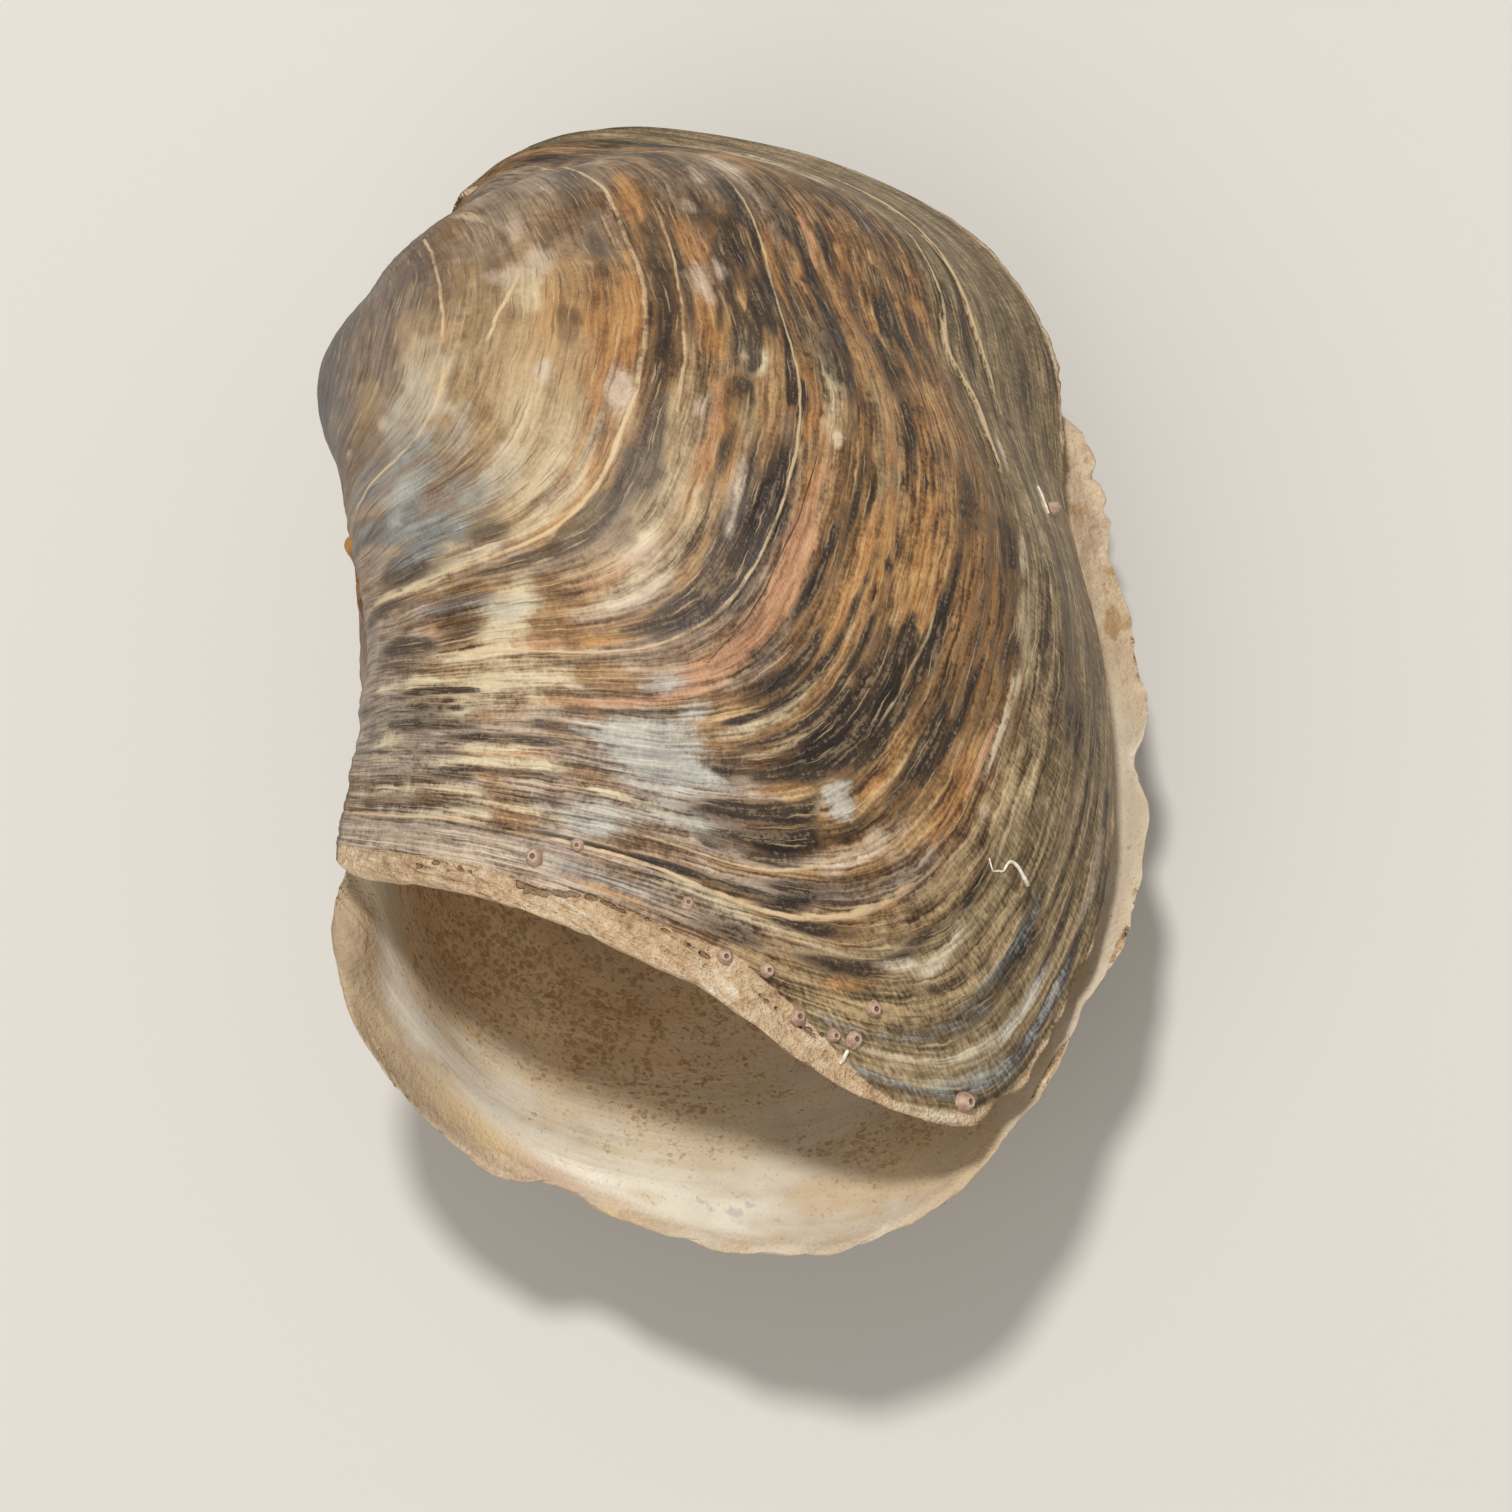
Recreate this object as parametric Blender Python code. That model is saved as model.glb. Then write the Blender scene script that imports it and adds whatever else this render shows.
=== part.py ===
"""A geoduck clam shell, lying on its left valve.

Both valves are sheets of shell that follow one growth spiral. A point of the outside is found
from two numbers: growth, which runs from almost 0 at the beak to 1 at the newest edge, and
bearing, the angle around the hinge point from the rear end (0 degrees) past the belly side
(90 degrees) to the front end (180 degrees). The edge outline at full growth is shrunk by
growth and turned about the hinge axis by -ln(growth) / SPIRAL_RATE, which winds it up into
the beak.

The shell frame has +X from the hinge to the belly side, +Y to the front end and +Z out
through the middle of the right valve, with the hinge point at its origin. An empty turns that
frame into the resting pose. Lengths here are millimetres; the meshes are metres.
"""

import math

import bmesh
import bpy
import numpy as np
from mathutils import Matrix, Vector

MM = 0.001

# ---------------------------------------------------------------- growth of a valve
SPIRAL_RATE = 0.70          # shrink rate per radian of turning about the hinge axis
BULGE = 1.19                # how much deeper than the plain spiral a valve is
BEAK_TURN = 165.0           # degrees the outside winds up, from the edge to the beak
CAVITY_TURN = 128.0         # degrees the hollow winds up before it is closed

# Distance from the hinge point to the edge, by bearing in degrees.
EDGE_RADIUS = {0: 78, 15: 93, 30: 109, 42: 121, 52: 117, 62: 109, 75: 98, 90: 85,
               105: 80.5, 120: 73.5, 135: 63.5, 150: 59, 165: 57.5, 180: 51.5}

# Height of the edge over the plane between the valves: the rear end gapes wide.
EDGE_GAPE = {0: 3.5, 15: 21, 30: 17, 45: 0, 60: 0, 75: 0, 90: 0, 105: 0, 120: 0,
             140: 2, 160: 8, 180: 7}
GAPE_POWER = 0.11           # the gape stays open as the shell grows

# Early growth was a little narrower, in percent of the radius.
EARLY_GROWTH_END = 0.6
EARLY_GROWTH_BLEND = 0.4
EARLY = {0: -1, 45: 0.5, 90: -3, 120: -3, 150: 0, 180: 0.5}

# The last fifth of growth widens or narrows each valve in its own way, in percent.
LATE_GROWTH_START = 0.8
RIGHT_LATE = {0: -4.5, 10: -5, 25: -2, 40: 4, 47: 2, 55: 1, 75: -2.5, 100: 2, 125: 4.5,
              150: -1, 180: -1}
LEFT_LATE = {0: -5, 10: 1.5, 25: 2, 40: 2, 50: -1, 60: 0, 75: 2.5, 100: 4, 125: -1.5,
             150: -1, 180: 1}

# The hinge line in front of the beak stops growing early.
FRONT_BEARING = 131.5
FRONT_LIMIT = 0.545
FRONT_SHARPNESS = 5

# ---------------------------------------------------------------- wall
EDGE_WALL = 2.4
BODY_WALL_EXTRA = 0.9
UMBO_WALL_EXTRA = 4.0
RIM_SETBACK = 0.022         # the inner lip sits this share of growth behind the edge
LIP_CLEARANCE = 0.65        # half the least gap between the valves

# ---------------------------------------------------------------- how the valves lie
LEFT_OPENING = 3.4          # degrees the left valve hangs open about the hinge
LEFT_TWIST = -3.2           # degrees it has turned in the plane between the valves
LEFT_SLIP = (5.4, -4.6)     # and how far it has slid along X and Y
REST_TURN_X = -18.5         # degrees from the shell frame to the resting pose
REST_TURN_Y = 6.0
HINGE_PLACE = (-43.8, 32.4, 42.3)   # where the hinge point then lies; the worn flat is at Z = 0

# ---------------------------------------------------------------- mesh
GROWTH_STEPS = 24
BEARING_STEPS = 37

# ---------------------------------------------------------------- small pieces
SEAT_GAP = 0.5              # between a small piece and the valve under it

# Barnacle: growth, bearing, base radius and height.
BARNACLES = [
    (0.884, 19.5, 1.05, 0.9),
    (0.847, 23.7, 0.80, 0.5),
    (0.877, 29.6, 0.80, 0.4),
    (0.923, 30.2, 0.95, 0.9),
    (0.918, 32.6, 0.90, 0.7),
    (0.952, 33.2, 1.05, 0.8),
    (0.954, 34.9, 0.85, 0.8),
    (0.952, 36.0, 1.05, 0.9),
    (0.921, 38.3, 1.05, 1.1),
    (0.984, 41.0, 1.20, 1.3),
    (0.935, 84.2, 1.00, 1.2),
]
BARNACLE_SIDES = 12

# Worm tube: growth and bearing of the points that it passes, with its radius there.
WORM_TUBES = [
    [(0.873, 51.3, 0.15), (0.880, 51.0, 0.16), (0.885, 51.4, 0.18), (0.889, 51.8, 0.22),
     (0.890, 52.5, 0.26), (0.897, 52.9, 0.28), (0.906, 52.9, 0.32), (0.914, 52.9, 0.28)],
    [(0.963, 35.3, 0.22), (0.970, 34.9, 0.25), (0.978, 34.5, 0.20)],
    [(0.910, 84.7, 0.15), (0.914, 83.6, 0.18), (0.918, 82.6, 0.15)],
]
TUBE_SIDES = 8
TUBE_RINGS_PER_POINT = 4

# Ligament: station along Y, centre X, centre Z, half width in X and half width in Z.
LIGAMENT = [
    (-13.0, -6.6, -0.5, 0.7, 0.4),
    (-17.5, -5.2, -0.1, 1.7, 0.7),
    (-22.0, -4.2, -0.1, 2.3, 1.5),
    (-25.8, -4.2, -0.3, 2.7, 2.1),
    (-29.0, -3.5, -0.6, 2.3, 1.9),
    (-33.5, -2.8, -1.0, 1.9, 1.7),
    (-38.0, -1.6, -1.2, 0.9, 0.9),
]
LIGAMENT_SIDES = 12
LIGAMENT_RINGS = 22

# ---------------------------------------------------------------- colours
SHELL_COLOUR = (0.36, 0.25, 0.14)
LIGAMENT_COLOUR = (0.10, 0.035, 0.01)
BARNACLE_COLOUR = (0.55, 0.33, 0.27)
TUBE_COLOUR = (0.80, 0.74, 0.64)


def clear_scene():
    for thing in list(bpy.data.objects):
        bpy.data.objects.remove(thing, do_unlink=True)


def make_material(name, colour, roughness):
    material = bpy.data.materials.new(name)
    material.use_nodes = True
    shader = material.node_tree.nodes["Principled BSDF"]
    shader.inputs["Base Color"].default_value = (*colour, 1.0)
    shader.inputs["Roughness"].default_value = roughness
    shader.inputs["Metallic"].default_value = 0.0
    return material


def ease(value):
    """Smooth step from 0 to 1."""
    value = np.clip(value, 0.0, 1.0)
    return value * value * (3.0 - 2.0 * value)


def smooth_table(where, table):
    """Natural cubic spline through a table of positions and values."""
    knots = np.array(list(table), float)
    values = np.array(list(table.values()), float)
    steps = np.diff(knots)
    slopes = np.diff(values) / steps
    system = np.eye(len(knots))
    right_side = np.zeros(len(knots))
    for i in range(1, len(knots) - 1):
        system[i, i - 1] = steps[i - 1]
        system[i, i] = 2.0 * (steps[i - 1] + steps[i])
        system[i, i + 1] = steps[i]
        right_side[i] = 6.0 * (slopes[i] - slopes[i - 1])
    bend = np.linalg.solve(system, right_side)
    left = np.clip(np.searchsorted(knots, where) - 1, 0, len(steps) - 1)
    width = steps[left]
    a = (knots[left + 1] - where) / width
    b = (where - knots[left]) / width
    curve = (a ** 3 - a) * bend[left] + (b ** 3 - b) * bend[left + 1]
    return a * values[left] + b * values[left + 1] + curve * width ** 2 / 6.0


def keep_clear(height):
    """Heights near or under 0 are eased up to a small clearance."""
    return (height + np.sqrt(height * height + 4.0 * LIP_CLEARANCE ** 2)) / 2.0


def outside(growth, bearing, late):
    """Points of a valve's outside in the shell frame."""
    growth, bearing = np.broadcast_arrays(np.asarray(growth, float), np.asarray(bearing, float))
    late_share = np.clip((growth - LATE_GROWTH_START) / (1.0 - LATE_GROWTH_START), 0.0, 1.0) ** 2
    limit = (1.0 + (growth / FRONT_LIMIT) ** FRONT_SHARPNESS) ** (-1.0 / FRONT_SHARPNESS)
    front = ease((bearing - FRONT_BEARING) / (180.0 - FRONT_BEARING))
    early_share = ease((EARLY_GROWTH_END - growth) / EARLY_GROWTH_BLEND)
    percent = smooth_table(bearing, late) * late_share + smooth_table(bearing, EARLY) * early_share
    radius = smooth_table(bearing, EDGE_RADIUS) * (1.0 + percent / 100.0 + front * (limit - 1.0))
    across = radius * np.sin(np.radians(bearing))
    along = -radius * np.cos(np.radians(bearing))
    lift = smooth_table(bearing, EDGE_GAPE) * growth ** GAPE_POWER
    turn = -np.log(growth) / SPIRAL_RATE
    x = growth * (across * np.cos(turn) - lift * np.sin(turn))
    z = growth * (across * np.sin(turn) + lift * np.cos(turn)) * BULGE
    return np.stack([x, growth * along, keep_clear(z)], axis=-1)


def outward(growth, bearing, late):
    """Unit normals of the outside, from small steps along both parameters."""
    growth, bearing = np.broadcast_arrays(np.asarray(growth, float), np.asarray(bearing, float))
    around = (outside(growth, np.clip(bearing + 0.1, 0, 180), late)
              - outside(growth, np.clip(bearing - 0.1, 0, 180), late))
    along = outside(growth * 1.001, bearing, late) - outside(growth * 0.999, bearing, late)
    normal = np.cross(along, around)
    return normal / np.linalg.norm(normal, axis=-1, keepdims=True)


def inside(growth, bearing, late):
    """Points of the hollow, the wall's thickness under the outside."""
    growth, bearing = np.broadcast_arrays(np.asarray(growth, float), np.asarray(bearing, float))
    wall = (EDGE_WALL + BODY_WALL_EXTRA * ease((1.0 - growth) / 0.12)
            + UMBO_WALL_EXTRA * ease((0.75 - growth) / 0.45))
    own_growth = growth ** (CAVITY_TURN / BEAK_TURN)
    own_growth = own_growth * (1.0 - RIM_SETBACK * ease((growth - 0.8) / 0.2))
    hinge_step = 2.0 + 4.0 * ease((0.6 - growth) / 0.3)
    own_bearing = hinge_step + bearing * (180.0 - 2.0 * hinge_step) / 180.0
    points = outside(own_growth, own_bearing, late)
    points = points - outward(own_growth, own_bearing, late) * wall[..., None]
    points[..., 2] = keep_clear(points[..., 2] - 0.2) + 0.1
    return points


def valve_mesh(name, late, side):
    """One closed solid: the outside, the hollow and the rim that joins them. side is 1 for
    the right valve and -1 for the left one, its mirror image."""
    beak_growth = math.exp(-SPIRAL_RATE * math.radians(BEAK_TURN))
    growth = np.linspace(1.0, beak_growth, GROWTH_STEPS)[:, None]
    bearing = np.linspace(0.0, 180.0, BEARING_STEPS)[None, :]
    shell = bmesh.new()
    sheets = []
    for surface in (outside, inside):
        points = surface(growth, bearing, late)
        points[..., 2] *= side
        grid = [[shell.verts.new(point * MM) for point in row] for row in points]
        # Past the last row the sheet closes on one point of the hinge line.
        pole = shell.verts.new((points[-1, 0] + points[-1, -1]) / 2.0 * MM)
        grid.append([pole] * BEARING_STEPS)
        sheets.append(grid)
    outer, inner = sheets

    def face(*corners):
        distinct = list(dict.fromkeys(corners))
        shell.faces.new(distinct if side > 0 else distinct[::-1])

    last = BEARING_STEPS - 1
    for i in range(GROWTH_STEPS):
        for j in range(last):
            face(outer[i][j], outer[i][j + 1], outer[i + 1][j + 1], outer[i + 1][j])
            face(inner[i][j], inner[i + 1][j], inner[i + 1][j + 1], inner[i][j + 1])
        face(outer[i][0], outer[i + 1][0], inner[i + 1][0], inner[i][0])
        face(outer[i][last], inner[i][last], inner[i + 1][last], outer[i + 1][last])
    for j in range(last):
        face(outer[0][j], inner[0][j], inner[0][j + 1], outer[0][j + 1])
    bmesh.ops.triangulate(shell, faces=list(shell.faces), quad_method="SHORT_EDGE")
    mesh = bpy.data.meshes.new(name)
    shell.to_mesh(mesh)
    shell.free()
    return mesh


def skin_rings(name, rings):
    """A closed body over rings of points, with flat ends."""
    body = bmesh.new()
    loops = [[body.verts.new(Vector(point) * MM) for point in ring] for ring in rings]
    sides = len(loops[0])
    for lower, upper in zip(loops, loops[1:]):
        for i in range(sides):
            k = (i + 1) % sides
            body.faces.new((lower[i], lower[k], upper[k], upper[i]))
    body.faces.new(loops[0][::-1])
    body.faces.new(loops[-1])
    bmesh.ops.recalc_face_normals(body, faces=list(body.faces))
    mesh = bpy.data.meshes.new(name)
    body.to_mesh(mesh)
    body.free()
    return mesh


def add_object(name, mesh, material, parent):
    thing = bpy.data.objects.new(name, mesh)
    bpy.context.scene.collection.objects.link(thing)
    mesh.materials.append(material)
    mesh.shade_smooth()
    mesh.set_sharp_from_angle(angle=math.radians(50))
    thing.parent = parent
    return thing


def circle(centre, first, second, sides):
    """Ring of points around a centre; first and second are its half axes."""
    turns = np.linspace(0.0, 2.0 * math.pi, sides, endpoint=False)[:, None]
    return centre + np.cos(turns) * first + np.sin(turns) * second


def tangent_axes(normal):
    first = np.cross((0.0, 0.0, 1.0), normal)
    first = first / np.linalg.norm(first)
    return first, np.cross(normal, first)


def barnacle_mesh(name, growth, bearing, radius, height):
    """A low cone with a crater, standing on the right valve."""
    normal = outward(growth, bearing, RIGHT_LATE)
    seat = outside(growth, bearing, RIGHT_LATE) + normal * SEAT_GAP
    first, second = tangent_axes(normal)
    profile = [(1.00, 0.00), (0.90, 0.45), (0.62, 1.00), (0.40, 0.95), (0.30, 0.45)]
    rings = [circle(seat + normal * height * up, first * radius * out, second * radius * out,
                    BARNACLE_SIDES) for out, up in profile]
    return skin_rings(name, rings)


def tube_mesh(name, stations):
    """A round tube that creeps over the right valve through its stations."""
    table = np.array(stations)
    count = (len(stations) - 1) * TUBE_RINGS_PER_POINT + 1
    where = np.linspace(0.0, len(stations) - 1.0, count)
    growth, bearing, radius = [
        smooth_table(where, dict(enumerate(column))) for column in table.T]
    normal = outward(growth, bearing, RIGHT_LATE)
    centre = outside(growth, bearing, RIGHT_LATE) + normal * (SEAT_GAP + radius)[:, None]
    ahead = np.gradient(centre, axis=0)
    rings = []
    for middle, up, forward, size in zip(centre, normal, ahead, radius):
        across = np.cross(forward, up)
        across = across / np.linalg.norm(across)
        rise = np.cross(across, forward / np.linalg.norm(forward))
        rings.append(circle(middle, across * size, rise * size, TUBE_SIDES))
    return skin_rings(name, rings)


def ligament_mesh(name):
    """The dried band behind the beaks, oval in section."""
    table = np.array(LIGAMENT)
    where = np.linspace(0.0, len(LIGAMENT) - 1.0, LIGAMENT_RINGS)
    y, x, z, half_x, half_z = [smooth_table(where, dict(enumerate(column))) for column in table.T]
    rings = [circle(np.array([x[i], y[i], z[i]]), np.array([half_x[i], 0.0, 0.0]),
                    np.array([0.0, 0.0, half_z[i]]), LIGAMENT_SIDES)
             for i in range(LIGAMENT_RINGS)]
    return skin_rings(name, rings)


def wear_flat(valve):
    """Wears the valve off flat at the height that it rests on."""
    bpy.context.view_layer.update()
    to_local = valve.matrix_world.inverted()
    body = bmesh.new()
    body.from_mesh(valve.data)
    up = (to_local.to_3x3() @ Vector((0.0, 0.0, 1.0))).normalized()
    cut = bmesh.ops.bisect_plane(
        body, geom=[*body.verts, *body.edges, *body.faces], dist=1e-7,
        plane_co=to_local.translation, plane_no=up, clear_inner=True)
    rim = [part for part in cut["geom_cut"] if isinstance(part, bmesh.types.BMEdge)]
    bmesh.ops.contextual_create(body, geom=rim)
    bmesh.ops.triangulate(body, faces=list(body.faces))
    bmesh.ops.recalc_face_normals(body, faces=list(body.faces))
    body.to_mesh(valve.data)
    body.free()


def build():
    clear_scene()
    shell_material = make_material("shell", SHELL_COLOUR, 0.5)
    ligament_material = make_material("ligament", LIGAMENT_COLOUR, 0.35)
    barnacle_material = make_material("barnacle", BARNACLE_COLOUR, 0.6)
    tube_material = make_material("worm_tube", TUBE_COLOUR, 0.6)

    resting = bpy.data.objects.new("resting_pose", None)
    bpy.context.scene.collection.objects.link(resting)
    turn = (Matrix.Rotation(math.radians(REST_TURN_X), 4, "X")
            @ Matrix.Rotation(math.radians(REST_TURN_Y), 4, "Y"))
    resting.rotation_euler = turn.to_euler()
    resting.location = Vector(HINGE_PLACE) * MM

    add_object("right_valve", valve_mesh("right_valve", RIGHT_LATE, 1), shell_material, resting)
    left_mesh = valve_mesh("left_valve", LEFT_LATE, -1)
    left_valve = add_object("left_valve", left_mesh, shell_material, resting)
    left_valve.location = (LEFT_SLIP[0] * MM, LEFT_SLIP[1] * MM, 0.0)
    left_turn = (Matrix.Rotation(math.radians(LEFT_TWIST), 4, "Z")
                 @ Matrix.Rotation(math.radians(LEFT_OPENING), 4, "Y"))
    left_valve.rotation_euler = left_turn.to_euler()
    wear_flat(left_valve)

    add_object("ligament", ligament_mesh("ligament"), ligament_material, resting)
    for number, figures in enumerate(BARNACLES, 1):
        name = f"barnacle_{number:02d}"
        add_object(name, barnacle_mesh(name, *figures), barnacle_material, resting)
    for number, stations in enumerate(WORM_TUBES, 1):
        name = f"worm_tube_{number}"
        add_object(name, tube_mesh(name, stations), tube_material, resting)


build()
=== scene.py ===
import math

import bpy
import numpy as np
from mathutils import Matrix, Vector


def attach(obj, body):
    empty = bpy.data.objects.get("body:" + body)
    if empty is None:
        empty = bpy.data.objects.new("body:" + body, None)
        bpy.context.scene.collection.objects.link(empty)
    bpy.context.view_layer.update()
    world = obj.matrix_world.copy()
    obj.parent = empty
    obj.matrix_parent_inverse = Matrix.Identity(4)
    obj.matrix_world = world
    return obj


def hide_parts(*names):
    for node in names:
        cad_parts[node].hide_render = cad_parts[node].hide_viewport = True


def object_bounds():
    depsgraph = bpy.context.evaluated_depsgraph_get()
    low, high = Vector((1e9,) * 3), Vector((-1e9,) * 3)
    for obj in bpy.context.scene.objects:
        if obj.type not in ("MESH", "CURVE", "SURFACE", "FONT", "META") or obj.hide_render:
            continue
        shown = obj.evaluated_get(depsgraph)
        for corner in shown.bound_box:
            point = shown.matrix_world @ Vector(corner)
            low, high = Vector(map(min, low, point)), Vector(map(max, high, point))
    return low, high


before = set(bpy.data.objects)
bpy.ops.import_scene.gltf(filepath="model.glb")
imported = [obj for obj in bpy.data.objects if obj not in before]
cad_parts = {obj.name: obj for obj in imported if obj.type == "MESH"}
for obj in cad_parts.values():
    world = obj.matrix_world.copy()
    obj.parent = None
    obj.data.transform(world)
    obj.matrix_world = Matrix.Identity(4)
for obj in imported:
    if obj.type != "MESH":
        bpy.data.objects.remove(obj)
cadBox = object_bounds()
print("frame loaded")

mm = 0.001


# Every place on a valve has two numbers. Growth runs from almost 0 at the beak to 1 at the
# newest edge. Bearing is the angle about the hinge point, in degrees: 0 rear, 90 belly, 180 front.
# Side is 1 for the right valve and -1 for the left one.

spiral = {
    "rate": 0.70,            # shrink per radian of turning about the hinge line
    "bulge": 1.19,           # how much higher the dome is than the plain spiral
    "beakTurn": 165.0,       # degrees that the outside winds up
    "cavityTurn": 128.0,     # degrees that the hollow winds up
    "mmPerGrowth": 165.0,    # how long a whole growth is on the shell, about
    "poleGrowth": 0.13,      # growth at the closing point of each beak
    "edgeRadius": {0: 78, 15: 93, 30: 109, 42: 121, 52: 117, 62: 109, 75: 98, 90: 85,
                   105: 80.5, 120: 73.5, 135: 63.5, 150: 59, 165: 57.5, 180: 51.5},   # mm
    "edgeGape": {0: 3.5, 15: 21, 30: 17, 45: 0, 60: 0, 75: 0, 90: 0, 105: 0, 120: 0,
                 140: 2, 160: 8, 180: 7},                            # mm
    "gapePower": 0.11,
    "early": {0: -1, 45: 0.5, 90: -3, 120: -3, 150: 0, 180: 0.5},    # percent of the radius
    "earlyEnd": 0.6,
    "earlyBlend": 0.4,
    "late": {1: {0: -4.5, 10: -5, 25: -2, 40: 4, 47: 2, 55: 1, 75: -2.5, 100: 2, 125: 4.5,
                 150: -1, 180: -1},                                  # percent of the radius
             -1: {0: -5, 10: 1.5, 25: 2, 40: 2, 50: -1, 60: 0, 75: 2.5, 100: 4, 125: -1.5,
                  150: -1, 180: 1}},
    "lateStart": 0.8,
    "frontBearing": 131.5,
    "frontLimit": 0.545,
    "frontSharpness": 5,
}

wall = {
    "edge": {1: 2.4, -1: 0.9},       # mm
    "bodyExtra": 0.9,                # mm more behind the edge, gained within bodyBlend of growth
    "bodyBlend": 0.12,
    "umboExtra": 4.0,                # mm more towards the beak
    "umboStart": 0.75,
    "umboBlend": 0.45,
    "thinExtra": {1: 0.0, -1: 1.5},  # mm more behind the left valve's thin edge
    "thinBlend": 0.08,
    "rimSetback": {1: 0.022, -1: 0.006},
    "hingeInset": (2.0, 4.0),        # degrees: everywhere, and more towards the beak
    "insetStart": 0.6,
    "insetBlend": 0.3,
    "seamStep": (0.2, 0.1),          # mm that the hollow drops before and rises after it is cleared
    "lipClearance": 0.65,
    "gatherBearing": 157.0,          # past this the growth lines gather and the wall turns no more
    "lipRoundness": 0.55,            # how far the lip bulges, as a share of its thickness
    "lipLumps": {1: 0.16, -1: 0.05},
    "hollowSwell": 0.22,             # mm
    "mantleLine": (0.35, 0.80, 0.012),  # mm, growth and half width in growth
    "mantleStart": (40, 20),         # bearing where it fades in, and over how much
    "rearFlare": {1: 0.0, -1: 2.45},  # mm that the rear edge turns outwards
    "flareStart": 0.80,
    "flareBlend": 0.17,
    "flareBearing": 3.2,
    "flareWidth": 4.6,
}

pose = {
    "leftOpening": 3.4,      # degrees about the hinge line
    "leftTwist": -3.2,
    "leftSlip": (5.4, -4.6, 0.0),
    "turnX": -18.5,
    "turnY": 6.0,
    "hingePlace": (-43.8, 32.4, 42.3),
}

meshSteps = {
    "bodyRows": 300, "bodyColumns": 230,
    "rimRows": 20, "rimColumns": 460,
    "lipRows": 7, "innerRimRows": 9,
    "innerRows": 56, "innerColumns": 120,
    "rimStart": 0.93, "innerStart": 0.94,
    "shoulder": 0.014,       # growth by which the rows before the edge keep clear of it
}


def ease(value):
    # 3v^2 - 2v^3 between 0 and 1
    value = np.clip(value, 0.0, 1.0)
    return value * value * (3.0 - 2.0 * value)


def smoothTable(where, table):
    # natural cubic spline through a table of places and values
    knots = np.array(list(table), float)
    values = np.array(list(table.values()), float)
    steps = np.diff(knots)
    slopes = np.diff(values) / steps
    system = np.eye(len(knots))
    rightSide = np.zeros(len(knots))
    for i in range(1, len(knots) - 1):
        system[i, i - 1] = steps[i - 1]
        system[i, i] = 2.0 * (steps[i - 1] + steps[i])
        system[i, i + 1] = steps[i]
        rightSide[i] = 6.0 * (slopes[i] - slopes[i - 1])
    bend = np.linalg.solve(system, rightSide)
    left = np.clip(np.searchsorted(knots, where) - 1, 0, len(steps) - 1)
    width = steps[left]
    a = (knots[left + 1] - where) / width
    b = (where - knots[left]) / width
    curve = (a ** 3 - a) * bend[left] + (b ** 3 - b) * bend[left + 1]
    return a * values[left] + b * values[left + 1] + curve * width ** 2 / 6.0


def straightTable(where, table):
    # straight lines through a table of places and values
    return np.interp(where, list(table), list(table.values()))


def lattice(u, v, seed):
    # random numbers at whole steps of u and v, eased in between, from -1 to 1
    size = 256
    table = np.random.default_rng(seed).random((size, size)) * 2.0 - 1.0
    row = np.floor(u).astype(int)
    column = np.floor(v).astype(int)
    a = ease(u - row)
    b = ease(v - column)

    def between(line):
        line = line % size
        return table[line, column % size] * (1 - b) + table[line, (column + 1) % size] * b

    return between(row) * (1 - a) + between(row + 1) * a


def layered(u, v, seed, layers=3):
    # lattices added up, each twice as fine and half as strong
    total = 0.0
    for k in range(layers):
        total = total + lattice(u * 2 ** k, v * 2 ** k, seed + k) / 2 ** k
    return total


def wander(place, spacing, row, seed):
    # the lattice along one of its rows
    return lattice(place / spacing, place * 0 + row, seed)


def unit(vectors):
    # vectors divided by their lengths
    return vectors / np.linalg.norm(vectors, axis=-1, keepdims=True)


def paired(growth, bearing):
    # both numbers as arrays of one shape
    return np.broadcast_arrays(np.asarray(growth, float), np.asarray(bearing, float))


def fullTurn(sides):
    # one row of even angles round a circle
    return np.linspace(0.0, 2.0 * np.pi, sides, endpoint=False)[None, :]


def throughPoints(where, points):
    # smooth curves through the columns of a list of points, by their number in the list
    return [smoothTable(where, dict(enumerate(column))) for column in np.array(points).T]


def rotation(axis, degrees):
    # the 3 by 3 matrix of a turn about one axis
    return np.array(Matrix.Rotation(math.radians(degrees), 3, axis))


def keepClear(height):
    # heights near or under 0 ease up to the clearance: (h + sqrt(h^2 + 4c^2)) / 2
    return (height + np.sqrt(height * height + 4.0 * wall["lipClearance"] ** 2)) / 2.0


def outside(growth, bearing, side):
    # the edge outline times growth, turned about the hinge line by -ln(growth) / rate
    growth, bearing = paired(growth, bearing)
    lateShare = np.clip((growth - spiral["lateStart"]) / (1.0 - spiral["lateStart"]), 0, 1) ** 2
    sharpness = spiral["frontSharpness"]
    limit = (1.0 + (growth / spiral["frontLimit"]) ** sharpness) ** (-1.0 / sharpness)
    front = ease((bearing - spiral["frontBearing"]) / (180.0 - spiral["frontBearing"]))
    earlyShare = ease((spiral["earlyEnd"] - growth) / spiral["earlyBlend"])
    percent = (smoothTable(bearing, spiral["late"][side]) * lateShare
               + smoothTable(bearing, spiral["early"]) * earlyShare)
    radius = smoothTable(bearing, spiral["edgeRadius"]) * (
        1.0 + percent / 100.0 + front * (limit - 1.0))
    across = radius * np.sin(np.radians(bearing))
    along = -radius * np.cos(np.radians(bearing))
    lift = smoothTable(bearing, spiral["edgeGape"]) * growth ** spiral["gapePower"]
    turn = -np.log(growth) / spiral["rate"]
    x = growth * (across * np.cos(turn) - lift * np.sin(turn))
    z = growth * (across * np.sin(turn) + lift * np.cos(turn)) * spiral["bulge"]
    return np.stack([x, growth * along, keepClear(z)], axis=-1)


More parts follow.
